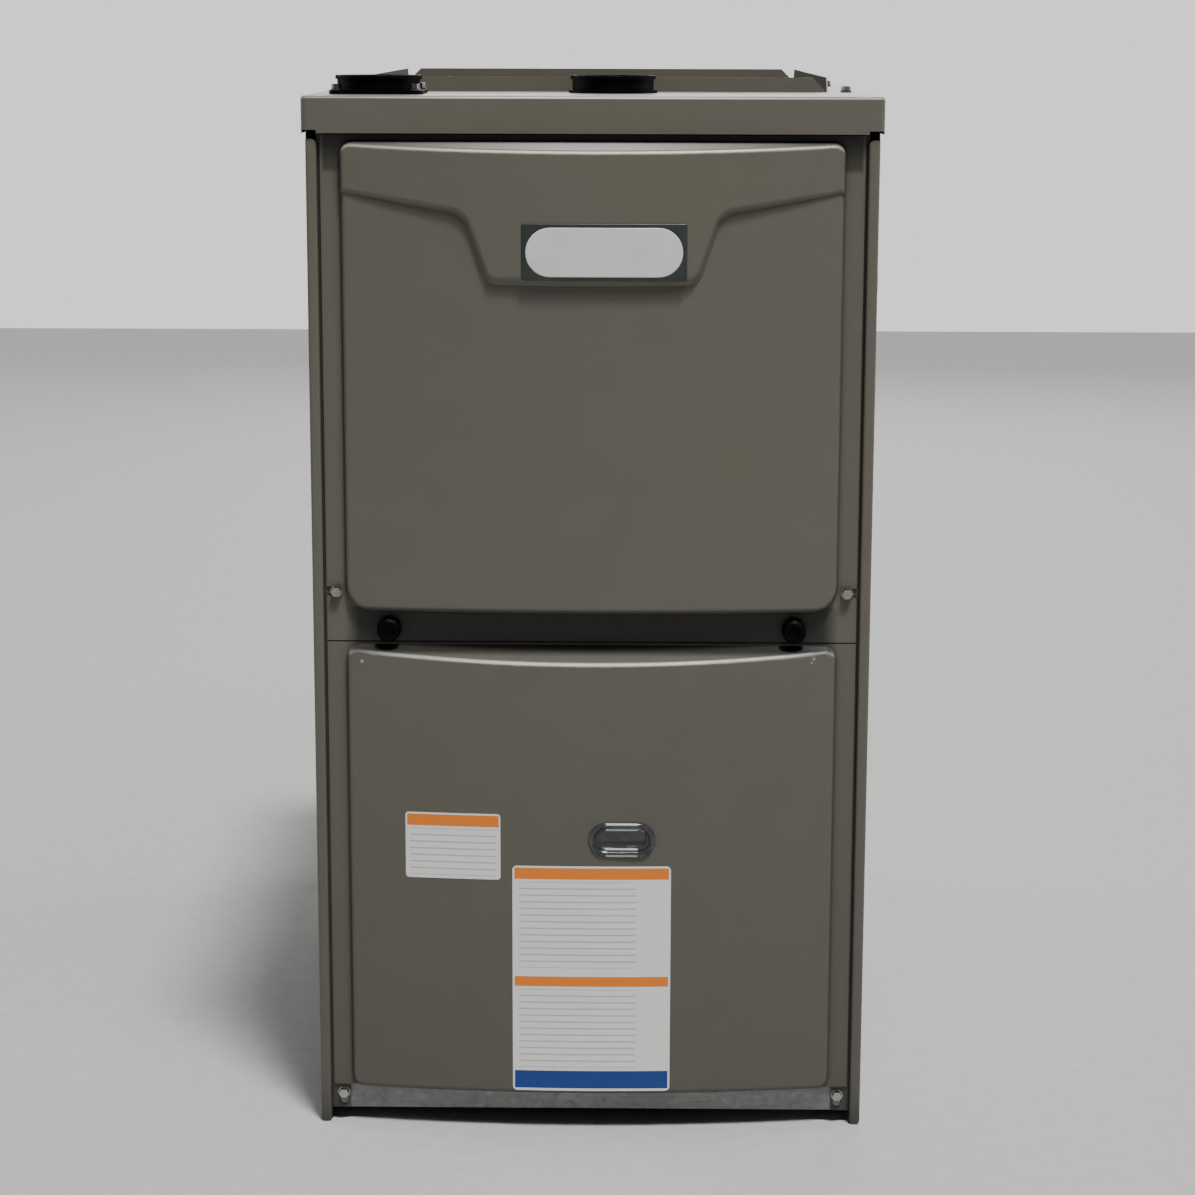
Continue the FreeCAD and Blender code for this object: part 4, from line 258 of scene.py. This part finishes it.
def add_painted_shade(paint, colour, off_middle):
    """Painted shade in the seams, painted shadows between the doors and under the cap's lip, and painted
    shade that darkens the paint towards the floor.
    """
    _, y, z = paint.axes()
    # Painted shade: near-black colour in narrow seams and corners.
    paint_seam_shade = paint.span(paint.corner_shade(PAINT_SHADE_REACH), 0.34, 0.84, 0.97, 0.0)
    below_top = paint.span(z, CAP_TOP - 0.003, CAP_TOP - 0.001, 1.0, 0.2)
    colour = paint.blend(paint.product(paint_seam_shade, below_top), colour, PAINT_SHADE_COLOUR)
    at_front = paint.span(y, FRONT_DEPTH - 0.01, FRONT_DEPTH + 0.01, 1.0, 0.0)
    # Painted shadow of the upper door on the strip between the doors.
    recess_shadow = paint.product(paint.span(z, RECESS_LOW - 0.003, RECESS_LOW, 0.0, 0.85),
                           paint.span(z, RECESS_HIGH, RECESS_HIGH + 0.003, 1.0, 0.0), at_front,
                           paint.span(off_middle, RECESS_HALF, RECESS_HALF + 0.012, 1.0, 0.0))
    colour = paint.blend(recess_shadow, colour, PAINT_SHADE_COLOUR)
    # Painted shadow of the cap's lip on the upper door's flange.
    lip_shadow_mask = paint.product(paint.span(z, LIP_SHADOW_LOW - 0.002, LIP_SHADOW_LOW + 0.002, 0.0, 0.6),
                              paint.span(y, FLANGE_PLANE - 0.0008, FLANGE_PLANE - 0.0003), at_front,
                              paint.span(off_middle, FLANGE_HALF - 0.001, FLANGE_HALF + 0.001, 1.0, 0.0))
    colour = paint.blend(lip_shadow_mask, colour, PAINT_SHADE_COLOUR)
    # Painted shade: the paint gets darker towards the bottom.
    bottom_shade = paint.span(z, 0.0, BOTTOM_SHADE_TOP, 0.35, 0.0)
    return paint.blend(bottom_shade, colour, BOTTOM_SHADE_COLOUR)


def cabinet_paint():
    """Grey-brown powder coat: orange peel, a slow drift of tint, dust, painted highlights, painted shade and
    shadows, and a few chips.
    """
    paint = Finish("cabinet_paint")
    paint.put("Specular IOR Level", 0.42)
    drift = paint.span(paint.noise(3.2, 2.0), 0.3, 0.7)
    colour = paint.blend(drift, PAINT_WARM, PAINT_COOL)
    cloud = paint.span(paint.noise(26.0, 5.0), 0.35, 0.65, 0.0, 0.10)
    colour = paint.blend(cloud, colour, PAINT_CLOUD)
    speck = paint.span(paint.noise(1900.0, 1.0), 0.3, 0.7, 0.0, 0.10)
    colour = paint.blend(speck, colour, PAINT_SPECK)
    off_middle = paint.reckon("ABSOLUTE", paint.axes()[0])
    colour = dust_and_painted_highlights(paint, colour, off_middle)
    colour = add_painted_shade(paint, colour, off_middle)
    for point, reach in CHIPS:
        colour = paint.blend(paint.near(point, reach), colour, CHIPPED_PAINT)
    paint.put("Base Color", colour)
    paint.put("Roughness", paint.span(paint.noise(140.0, 4.0), 0.25, 0.75, 0.36, 0.47))
    paint.bump(paint.noise(620.0, 2.0), 0.00010, 0.35)
    return paint.material


def galvanised(name, light, dark, spangle):
    """Zinc-coated sheet: crystal spangle, rolling streaks, dull smudges and painted shade in the seams."""
    zinc = Finish(name, metal=0.85)
    crystal = zinc.cells(spangle)
    value = zinc.add("ShaderNodeSeparateColor")
    zinc.feed(value.inputs["Color"], crystal)
    tone = zinc.span(value.outputs["Red"], 0.0, 1.0)
    colour = zinc.blend(tone, dark, light)
    streak = zinc.span(zinc.noise(40.0, 4.0, stretch=(1.0, 1.0, 14.0)), 0.35, 0.7)
    colour = zinc.blend(zinc.product(streak, 0.35), colour, [share * 0.62 for share in dark])
    smudge = zinc.span(zinc.noise(11.0, 5.0), 0.52, 0.75)
    colour = zinc.blend(zinc.product(smudge, 0.5), colour, ZINC_SMUDGE)
    # Painted shade: darker colour in narrow seams.
    metal_seam_shade = zinc.span(zinc.corner_shade(ZINC_SHADE_REACH), 0.3, 0.8, 0.92, 0.0)
    zinc.put("Base Color", zinc.blend(metal_seam_shade, colour, METAL_SHADE_COLOUR))
    zinc.put("Roughness", zinc.span(value.outputs["Green"], 0.0, 1.0, 0.34, 0.52))
    zinc.bump(zinc.noise(420.0, 3.0), 0.00006, 0.4)
    return zinc.material


def metal_finish(name, colour, shade, rough, grain=300.0, stretch=None, depth=0.00004, metal=1.0):
    """Bare metal with grain, cloudy tarnish, painted shade in the seams and uneven gloss."""
    bare = Finish(name, metal=metal)
    grain_map = bare.noise(grain, 4.0, stretch=stretch)
    cloud = bare.span(bare.noise(34.0, 5.0), 0.35, 0.7)
    mixed = bare.blend(bare.product(cloud, 0.55), colour, shade)
    dark_grain = [share * 0.7 for share in shade]
    mixed = bare.blend(bare.span(grain_map, 0.45, 0.8, 0.0, 0.3), mixed, dark_grain)
    # Painted shade: darker colour in narrow seams.
    metal_seam_shade = bare.span(bare.corner_shade(METAL_SHADE_REACH), 0.4, 0.85, 0.9, 0.0)
    bare.put("Base Color", bare.blend(metal_seam_shade, mixed, METAL_SHADE_COLOUR))
    bare.put("Roughness", bare.span(grain_map, 0.25, 0.75, rough - 0.07, rough + 0.1))
    bare.bump(grain_map, depth, 0.5)
    return bare.material


def plastic_finish(name, colour, shade, rough, grain=900.0, depth=0.00004, gloss=0.4):
    """Moulded plastic, rubber, ceramic or enamel with a fine texture and a dusty bloom."""
    moulded = Finish(name)
    moulded.put("Specular IOR Level", gloss)
    texture = moulded.noise(grain, 2.0)
    bloom = moulded.span(moulded.noise(48.0, 5.0), 0.42, 0.75)
    mixed = moulded.blend(moulded.product(bloom, 0.6), colour, shade)
    pit = [share * 0.6 for share in colour]
    moulded.put("Base Color", moulded.blend(moulded.span(texture, 0.3, 0.7, 0.0, 0.18), mixed, pit))
    moulded.put("Roughness", moulded.span(bloom, 0.0, 1.0, rough, rough + 0.14))
    moulded.bump(texture, depth, 0.5)
    return moulded.material


def layered(name, colour, shade, rough, metal, axis, pitch, depth):
    """Stacked sheets seen edge on: fins or core plates as fine lines along one axis."""
    stack = Finish(name, rough=rough, metal=metal)
    line = stack.reckon("PINGPONG", stack.axes()[axis], pitch / 2)
    edge = stack.span(line, 0.0, pitch / 2)
    cloud = stack.span(stack.noise(40.0, 4.0), 0.3, 0.7)
    body = stack.blend(stack.product(cloud, 0.5), colour, shade)
    stack.put("Base Color", stack.blend(edge, [share * 0.35 for share in shade], body))
    stack.bump(edge, depth, 0.8)
    return stack.material


def circuit_board():
    """Green board with copper runs under the mask and pale pads."""
    board = Finish("circuit_board", rough=0.35)
    runs = board.cells(190.0, output="Distance", feature="DISTANCE_TO_EDGE")
    copper = board.span(runs, 0.05, 0.09, 1.0, 0.0)
    colour = board.blend(copper, (0.012, 0.075, 0.03), (0.03, 0.16, 0.06))
    pads = board.span(board.cells(260.0, output="Distance"), 0.16, 0.2, 1.0, 0.0)
    board.put("Base Color", board.blend(pads, colour, (0.5, 0.48, 0.4)))
    board.bump(copper, 0.00005, 0.6)
    return board.material


def clear_lens():
    """Clear moulded plastic, faintly smoked, with scratches."""
    lens = Finish("clear_lens")
    scratch = lens.noise(90.0, 6.0, stretch=(6.0, 1.0, 1.0))
    tint = lens.blend(lens.span(scratch, 0.55, 0.8), (0.42, 0.45, 0.45), (0.58, 0.60, 0.60))
    lens.put("Base Color", tint)
    lens.put("Roughness", lens.span(scratch, 0.3, 0.8, 0.08, 0.16))
    lens.put("Transmission Weight", 0.92)
    lens.put("IOR", 1.49)
    lens.bump(scratch, 0.00003, 0.3)
    return lens.material


def lens_highlight():
    """A painted highlight: pale colour on the rolled edges of the clear plastic, which face the light."""
    edge = Finish("lens_highlight")
    haze = edge.span(edge.noise(160.0, 4.0), 0.3, 0.7)
    edge.put("Base Color", edge.blend(haze, (0.92, 0.93, 0.93), (0.7, 0.72, 0.72)))
    edge.put("Roughness", edge.span(haze, 0.0, 1.0, 0.08, 0.2))
    edge.put("Transmission Weight", 0.4)
    edge.put("IOR", 1.49)
    return edge.material


MATERIALS = {
    "cabinet_paint": cabinet_paint(),
    "galvanised_steel": galvanised("galvanised_steel", (0.46, 0.465, 0.46), (0.34, 0.345, 0.345),
                                   spangle=150.0),
    "zinc_screws": metal_finish("zinc_screws", (0.44, 0.43, 0.415), (0.22, 0.215, 0.21), 0.26,
                                grain=700.0),
    "black_plastic": plastic_finish("black_plastic", (0.002, 0.002, 0.0022), (0.004, 0.004, 0.0045), 0.5,
                                    gloss=0.06),
    "badge": plastic_finish("badge", (0.03, 0.036, 0.032), (0.055, 0.062, 0.056), 0.34),
    "clear_lens": clear_lens(),
    "vent_pipe": plastic_finish("vent_pipe", (0.014, 0.014, 0.015), (0.035, 0.035, 0.036), 0.3,
                                grain=500.0),
    "aluminised_steel": metal_finish("aluminised_steel", (0.6, 0.59, 0.57), (0.38, 0.35, 0.31), 0.42,
                                     grain=240.0),
    "coil_fins": layered("coil_fins", (0.68, 0.69, 0.7), (0.5, 0.5, 0.5), 0.4, 0.9,
                         axis=1, pitch=0.0026, depth=0.0003),
    "iron_pipe": metal_finish("iron_pipe", (0.05, 0.048, 0.046), (0.1, 0.075, 0.06), 0.55,
                              grain=320.0, depth=0.00012, metal=0.5),
    "brass_spuds": metal_finish("brass_spuds", (0.78, 0.58, 0.26), (0.5, 0.35, 0.14), 0.28,
                                grain=500.0),
    "cast_valve": metal_finish("cast_valve", (0.55, 0.55, 0.54), (0.36, 0.36, 0.36), 0.48,
                               grain=900.0, depth=0.00018),
    "red_plastic": plastic_finish("red_plastic", (0.42, 0.02, 0.015), (0.5, 0.06, 0.05), 0.38),
    "rubber": plastic_finish("rubber", (0.018, 0.018, 0.018), (0.045, 0.045, 0.044), 0.62,
                             grain=700.0, depth=0.00008),
    "ceramic": plastic_finish("ceramic", (0.72, 0.7, 0.64), (0.6, 0.55, 0.46), 0.4, grain=1200.0),
    "snap_discs": metal_finish("snap_discs", (0.7, 0.69, 0.67), (0.46, 0.44, 0.42), 0.32,
                               grain=600.0),
    "shaft_steel": metal_finish("shaft_steel", (0.72, 0.72, 0.72), (0.5, 0.49, 0.48), 0.24,
                                grain=120.0, stretch=(1.0, 9.0, 9.0)),
    "motor_paint": plastic_finish("motor_paint", (0.024, 0.025, 0.028), (0.06, 0.06, 0.062), 0.36,
                                  grain=500.0, depth=0.0001),
    "circuit_board": circuit_board(),
    "component_plastic": plastic_finish("component_plastic", (0.02, 0.02, 0.022), (0.06, 0.06, 0.06),
                                        0.42),
    "white_plastic": plastic_finish("white_plastic", (0.72, 0.72, 0.69), (0.62, 0.61, 0.57), 0.42),
    "transformer_core": layered("transformer_core", (0.2, 0.19, 0.185), (0.12, 0.11, 0.1), 0.45, 0.7,
                                axis=0, pitch=0.0012, depth=0.0001),
}
for entry in frame["record"]["subparts"]:
    node = frame["nodes"][entry["node"]]
    node.data.materials.clear()
    node.data.materials.append(MATERIALS[entry["material_slot"]])
# The base pan is the same zinc, dulled
dull_zinc = galvanised("dull_zinc", (0.25, 0.255, 0.25), (0.195, 0.2, 0.2), spangle=240.0)
frame["nodes"]["base_pan"].data.materials[0] = dull_zinc


# Bow of the lower door and of the shield: one arc across the width, with a crest of its own on each
PAN_HALF = 0.196
BOW_RISE = 0.016
BOW_RADIUS = (PAN_HALF ** 2 + BOW_RISE ** 2) / (2 * BOW_RISE)
LOWER_CREST = -0.3614
SHIELD_CREST = -0.3634


def bow_depth(x, crest):
    return crest + BOW_RADIUS - math.sqrt(BOW_RADIUS ** 2 - x ** 2)


def add_piece(name, mesh, body, materials, smooth=True):
    piece = bpy.data.objects.new(name, mesh)
    bpy.context.scene.collection.objects.link(piece)
    for material in materials:
        mesh.materials.append(material)
    if smooth:
        mesh.shade_smooth()
    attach(piece, body)
    return piece


def outline_points(low, high, radius, steps=8, runs=24):
    """A rectangle with rounded corners, from the right end over the top to the left and back below."""
    left, right = low[0] + radius, high[0] - radius
    top, bottom = high[1], low[1]

    def corner(x, z, start):
        for step in range(steps + 1):
            angle = math.radians(start + 90.0 * step / steps)
            yield (x + radius * math.cos(angle), z + radius * math.sin(angle))

    def run(start, end, z):
        for step in range(1, runs):
            yield (start + (end - start) * step / runs, z)

    points = list(corner(right, top - radius, 0))
    points += run(right, left, top)
    points += corner(left, top - radius, 90)
    points += corner(left, bottom + radius, 180)
    points += run(left, right, bottom)
    points += corner(right, bottom + radius, 270)
    return points


def rings_mesh(name, rings, closed=True):
    """Joins outlines of equal length, back to front, into one skin; its two ends may be filled."""
    verts = [point for ring in rings for point in ring]
    count = len(rings[0])
    faces = []
    for ring in range(len(rings) - 1):
        base = ring * count
        for step in range(count):
            after = (step + 1) % count
            faces.append((base + step, base + after, base + count + after, base + count + step))
    if closed:
        last = (len(rings) - 1) * count
        faces.append(tuple(range(last, last + count)))
        faces.append(tuple(reversed(range(count))))
    mesh = bpy.data.meshes.new(name)
    mesh.from_pydata(verts, [], faces)
    return mesh


STICKER_LIFT = 0.00025
STICKER_SINK = 0.00002


def curved_sheet(name, low, high, radius, columns=40):
    """A thin closed sheet with rounded corners, laid on the bow of the lower door."""
    front = []
    for step in range(columns + 1):
        share = step / columns
        x = low[0] + (high[0] - low[0]) * 0.5 * (1 - math.cos(math.pi * share))
        inset = 0.0
        from_side = min(x - low[0], high[0] - x)
        if from_side < radius:
            inset = radius - math.sqrt(max(radius ** 2 - (radius - from_side) ** 2, 0.0))
        front.append((x, low[1] + inset, high[1] - inset))
    verts = []
    for x, bottom, top in front:
        door = bow_depth(x, LOWER_CREST)
        under, face = door + STICKER_SINK, door - STICKER_LIFT
        verts += [(x, under, bottom), (x, face, bottom), (x, face, top), (x, under, top)]
    faces = []
    for step in range(columns):
        here, after = 4 * step, 4 * step + 4
        for row in range(4):
            across = (row + 1) % 4
            faces.append((here + row, after + row, after + across, here + across))
    last = 4 * columns
    faces.append((0, 1, 2, 3))
    faces.append((last + 3, last + 2, last + 1, last))
    mesh = bpy.data.meshes.new(name)
    mesh.from_pydata(verts, [], faces)
    return mesh


PRINT_SOFT = 0.00015
RULE_HALF = 0.0004
RULE_GREY = (0.25, 0.25, 0.26)
RULE_SHARE = 0.6


def card_material(name, low, high, bands, rows, border):
    """A blank printed card: white stock with a bare border, plain colour bands and empty ruled rows."""
    card = Finish(name, rough=0.38)
    card.put("Specular IOR Level", 0.4)
    x, _, z = card.axes()
    across = card.span(x, low[0], high[0])
    up = card.span(z, low[1], high[1])
    fibre = card.noise(700.0, 3.0)
    colour = card.blend(card.span(fibre, 0.3, 0.7, 0.0, 0.12), (0.8, 0.8, 0.79), (0.66, 0.66, 0.65))

    tall = high[1] - low[1]
    wide = high[0] - low[0]
    margin = border / wide

    def patch(bottom, top, left, right):
        return card.product(card.inside(up, bottom, top, PRINT_SOFT / tall),
                            card.inside(across, left, right, PRINT_SOFT / wide))

    for start, end, left, right, line in rows:
        count = round((end - start) * tall / line)
        step = card.reckon("PINGPONG", card.reckon("SUBTRACT", up, start), (end - start) / count / 2)
        rule = card.span(step, RULE_HALF / tall, (RULE_HALF + 2 * PRINT_SOFT) / tall, 1.0, 0.0)
        ruled = card.product(rule, patch(start, end, left, right), RULE_SHARE)
        colour = card.blend(ruled, colour, RULE_GREY)
    for start, end, tint in bands:
        faded = [share * 0.75 for share in tint]
        shade = card.blend(card.span(fibre, 0.3, 0.7, 0.0, 0.25), tint, faded)
        colour = card.blend(patch(start, end, margin, 1 - margin), colour, shade)
    card.put("Base Color", colour)
    card.bump(fibre, 0.00003, 0.3)
    return card.material


ORANGE = (0.84, 0.22, 0.02)
BLUE = (0.008, 0.045, 0.24)
RULED_WIDTH = (0.04, 0.78)
LINE_PITCH = 0.0055


def add_card(name, low, high, radius, bands, rows, border):
    finish = card_material(name, low, high, bands, rows, border)
    sheet = curved_sheet(name, low, high, radius)
    add_piece(name, sheet, "lower_door", [finish], smooth=False)


# Bands: low and high share of the height, colour. Rows: the same shares, those of the width, line pitch
add_card("small_card", (-0.1498, 0.2139), (-0.0728, 0.2686), 0.0025,
         bands=[(0.80, 0.975, ORANGE)],
         rows=[(0.05, 0.76, 0.05, 0.95, 0.0058)], border=0.0013)
add_card("large_card", (-0.0632, 0.0349), (0.0650, 0.2260), 0.0035,
         bands=[(0.942, 0.992, ORANGE), (0.468, 0.512, ORANGE), (0.011, 0.09, BLUE)],
         rows=[(0.55, 0.93, *RULED_WIDTH, LINE_PITCH), (0.105, 0.455, *RULED_WIDTH, LINE_PITCH)],
         border=0.0016)


# Badge: a bare plate with a raised blank field; inset, corner radius and lift of its outlines, back to front
BADGE_STEPS = [(0.0, 0.0012, 0.0001), (0.0, 0.0012, 0.0007), (0.0003, 0.0010, 0.0009),
               (0.0030, 0.0188, 0.0009), (0.0033, 0.0185, 0.00112), (0.0038, 0.0180, 0.0012)]


def badge_piece():
    low_corner, high_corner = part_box("badge_plate")
    low = (low_corner[0], low_corner[2])
    high = (high_corner[0], high_corner[2])

    def ring(inset, radius, lift):
        inner_low = (low[0] + inset, low[1] + inset)
        inner_high = (high[0] - inset, high[1] - inset)
        points = outline_points(inner_low, inner_high, radius)
        return [(x, bow_depth(x, SHIELD_CREST) - lift, z) for x, z in points]

    rings = [ring(*step) for step in BADGE_STEPS]
    plate = rings_mesh("badge_face", rings, closed=False)
    count = len(rings[0])
    fill = bmesh.new()
    fill.from_mesh(plate)
    fill.verts.ensure_lookup_table()
    fill.faces.ensure_lookup_table()
    for face in fill.faces[-2 * count:]:
        face.material_index = 1
    outer = fill.verts[:count]
    inner = fill.verts[-count:]
    for step in range(count // 2 - 1):
        strip = (step, step + 1, count - 2 - step, count - 1 - step)
        fill.faces.new([inner[number] for number in strip]).material_index = 1
        fill.faces.new([outer[number] for number in reversed(strip)])
    fill.to_mesh(plate)
    fill.free()
    field = plastic_finish("badge_field", (0.72, 0.72, 0.71), (0.62, 0.62, 0.62), 0.3,
                           grain=1200.0, depth=0.00002)
    finishes = [MATERIALS["badge"], field]
    piece = add_piece("badge_face", plate, "upper_door", finishes, smooth=False)
    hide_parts("badge_plate")


badge_piece()


# Sight window: a clear plug with a rolled rim and an inner ridge, with painted highlights along their
# straight runs
PLUG_INSET = 0.0036
# Inset from the rim and depth behind its front, from the rim inward
LENS_PROFILE = [(0.0, 0.0011), (0.0003, 0.0005), (0.0009, 0.0001), (0.0016, 0.0), (0.0024, 0.0003),
                (0.0031, 0.0010), (0.0042, 0.0013), (0.0044, 0.0030), (0.0049, 0.0031), (0.0052, 0.0020),
                (0.0057, 0.0014), (0.0063, 0.0016), (0.0066, 0.0026), (0.0070, 0.0034)]
# Bands between outlines that carry the painted highlight, counted from the back
LENS_HIGHLIGHT_BANDS = (3, 4, 5, 12, 13, 14)


def window_piece():
    low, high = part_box("sight_window")
    across = (low[0] + high[0]) / 2
    up = (low[2] + high[2]) / 2
    rim = (high[2] - low[2]) / 2
    reach = (high[0] - low[0]) / 2 - rim
    front = low[1]
    steps = 14
    straight = 12

    def outline(radius):
        for start, side in ((-90, 1), (90, -1)):
            for step in range(steps + 1):
                angle = math.radians(start + 180.0 * step / steps)
                yield (across + side * reach + radius * math.cos(angle), up + radius * math.sin(angle))
            for step in range(1, straight):
                share = step / straight
                yield (across + side * reach * (1 - 2 * share), up + side * radius)

    def flat_ring(inset, depth):
        return [(x, front + depth, z) for x, z in outline(rim - inset)]

    def door_ring(inset):
        return [(x, bow_depth(x, LOWER_CREST), z) for x, z in outline(rim - inset)]

    rings = [flat_ring(PLUG_INSET, high[1] - front), door_ring(PLUG_INSET), door_ring(0.0)]
    rings += [flat_ring(inset, depth) for inset, depth in LENS_PROFILE]
    mesh = rings_mesh("sight_lens", rings)
    for number, face in enumerate(mesh.polygons):
        # Painted highlight: pale faces on the straight runs of the rim and the ridge.
        on_straight_run = abs(face.center.x - across) < reach
        if on_straight_run and number // len(rings[0]) in LENS_HIGHLIGHT_BANDS:
            face.material_index = 1
    finishes = [MATERIALS["clear_lens"], lens_highlight()]
    piece = add_piece("sight_lens", mesh, "lower_door", finishes)
    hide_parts("sight_window")


window_piece()

# Sheet screws that hold the inner panels to the cabinet's sides and back
SCREW_TURNS = 12
# Radius, height and whether hexagonal, from the washer up
SCREW_STEPS = [(0.0046, 0.0, False), (0.0046, 0.0004, False), (0.0040, 0.0006, False),
               (0.0036, 0.0006, True), (0.0036, 0.0017, True), (0.0031, 0.0021, True)]


def screw_ring(radius, height, hexagon):
    for turn in range(SCREW_TURNS):
        angle = 2 * math.pi * turn / SCREW_TURNS
        reach = radius * math.cos(math.pi / 6) if hexagon and turn % 2 else radius
        yield Vector((reach * math.cos(angle), reach * math.sin(angle), height))


def panel_screws(name, outward, places):
    """One piece of hex screws with washer heads, standing along the outward direction."""
    stand = Vector(outward).to_track_quat("Z", "Y")
    mesh = bmesh.new()
    for number, place in enumerate(places):
        spin = Matrix.Rotation(0.7 * number, 3, "Z")
        rings = [[mesh.verts.new(Vector(place) + stand @ (spin @ point)) for point in screw_ring(*step)]
                 for step in SCREW_STEPS]
        for lower, upper in zip(rings, rings[1:]):
            for turn in range(SCREW_TURNS):
                after = (turn + 1) % SCREW_TURNS
                mesh.faces.new((lower[turn], lower[after], upper[after], upper[turn]))
        mesh.faces.new(rings[-1])
        mesh.faces.new(rings[0][::-1])
    data = bpy.data.meshes.new(name)
    mesh.to_mesh(data)
    mesh.free()
    add_piece(name, data, "cabinet", [MATERIALS["zinc_screws"]], smooth=False)


def spread(low, high, count):
    return [low + (high - low) * step / (count - 1) for step in range(count)]


# Rows of screws along the edges of the inner panels
ROW_RISE = (0.05, 0.77)
ROW_REACH = 0.27
BASE_ROW = 0.014
SIDE_EDGE = 0.012
BACK_EDGE = 0.014
BACK_REACH = 0.14
deck_level = sum(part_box("blower_deck")[side][2] for side in (0, 1)) / 2
vestibule_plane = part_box("vestibule_panel")[0][1]
back_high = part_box("back_panel")[1]
for side, label in ((-1, "left"), (1, "right")):
    panel_low, panel_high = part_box(label + "_side_panel")
    face = panel_high[0] if side > 0 else panel_low[0]
    spots = [(face, back_high[1] - SIDE_EDGE, z) for z in spread(*ROW_RISE, 6)]
    spots += [(face, y, BASE_ROW) for y in spread(-ROW_REACH, ROW_REACH, 4)]
    spots += [(face, y, deck_level) for y in spread(vestibule_plane + 0.06, ROW_REACH, 3)]
    spots += [(face, vestibule_plane + 0.008, z) for z in spread(deck_level + 0.08, 0.76, 3)]
    panel_screws(label + "_panel_screws", (side, 0, 0), spots)
back_spots = []
for side in (-1, 1):
    back_spots += [(side * (back_high[0] - BACK_EDGE), back_high[1], z) for z in spread(*ROW_RISE, 6)]
back_spots += [(x, back_high[1], deck_level) for x in spread(-BACK_REACH, BACK_REACH, 3)]
panel_screws("back_panel_screws", (0, 1, 0), back_spots)

# Floor, light and surroundings
FLOOR_HALF = 6.0
floor_mesh = bpy.data.meshes.new("floor")
floor_corners = [(x * FLOOR_HALF, y * FLOOR_HALF, 0.0) for x, y in ((-1, -1), (1, -1), (1, 1), (-1, 1))]
floor_mesh.from_pydata(floor_corners, [], [(0, 1, 2, 3)])
floor = bpy.data.objects.new("floor", floor_mesh)
bpy.context.scene.collection.objects.link(floor)
floor_mesh.materials.append(plastic_finish("floor", (0.5, 0.5, 0.49), (0.48, 0.48, 0.47), 0.6, grain=60.0))


def aim(light, place, target):
    light.location = place
    light.rotation_euler = (Vector(target) - Vector(place)).to_track_quat("-Z", "Y").to_euler()
    bpy.context.scene.collection.objects.link(light)


def area_light(name, place, target, size, power):
    data = bpy.data.lights.new(name, "AREA")
    data.shape = "RECTANGLE"
    data.size, data.size_y = size
    data.energy = power
    aim(bpy.data.objects.new(name, data), place, target)


def far_light(name, place, target, strength, softness):
    data = bpy.data.lights.new(name, "SUN")
    data.energy = strength
    data.angle = math.radians(softness)
    aim(bpy.data.objects.new(name, data), place, target)


def surroundings(seen, lit):
    """A pale room as the eye sees it, giving less light than it shows."""
    world = bpy.data.worlds.new("studio")
    bpy.context.scene.world = world
    world.use_nodes = True
    tree = world.node_tree
    room = tree.nodes["Background"]
    room.inputs["Color"].default_value = (0.96, 0.96, 0.95, 1)
    path = tree.nodes.new("ShaderNodeLightPath")
    level = tree.nodes.new("ShaderNodeMapRange")
    level.inputs["To Min"].default_value = lit
    level.inputs["To Max"].default_value = seen
    tree.links.new(path.outputs["Is Camera Ray"], level.inputs["Value"])
    tree.links.new(level.outputs["Result"], room.inputs["Strength"])


KEY_RISE = math.radians(71)
KEY_REACH = 3.0
FILL_AIM = (0, 0.1, 0.45)
key_place = (0.5, -KEY_REACH * math.cos(KEY_RISE), KEY_REACH * math.sin(KEY_RISE))
far_light("ceiling_light", key_place, (0, 0, 0), strength=3.4, softness=9)
area_light("upper_soft", (0.4, -1.3, 2.4), (0, -0.3, 0.7), (1.2, 0.4), power=20)
for side, label in ((-1, "left"), (1, "right")):
    area_light(label + "_fill", (side * 3.4, 1.1, 1.8), FILL_AIM, (1.6, 2.0), power=42)
area_light("back_fill", (0.4, 4.2, 2.2), FILL_AIM, (2.4, 2.0), power=55)
surroundings(seen=1.2, lit=0.06)
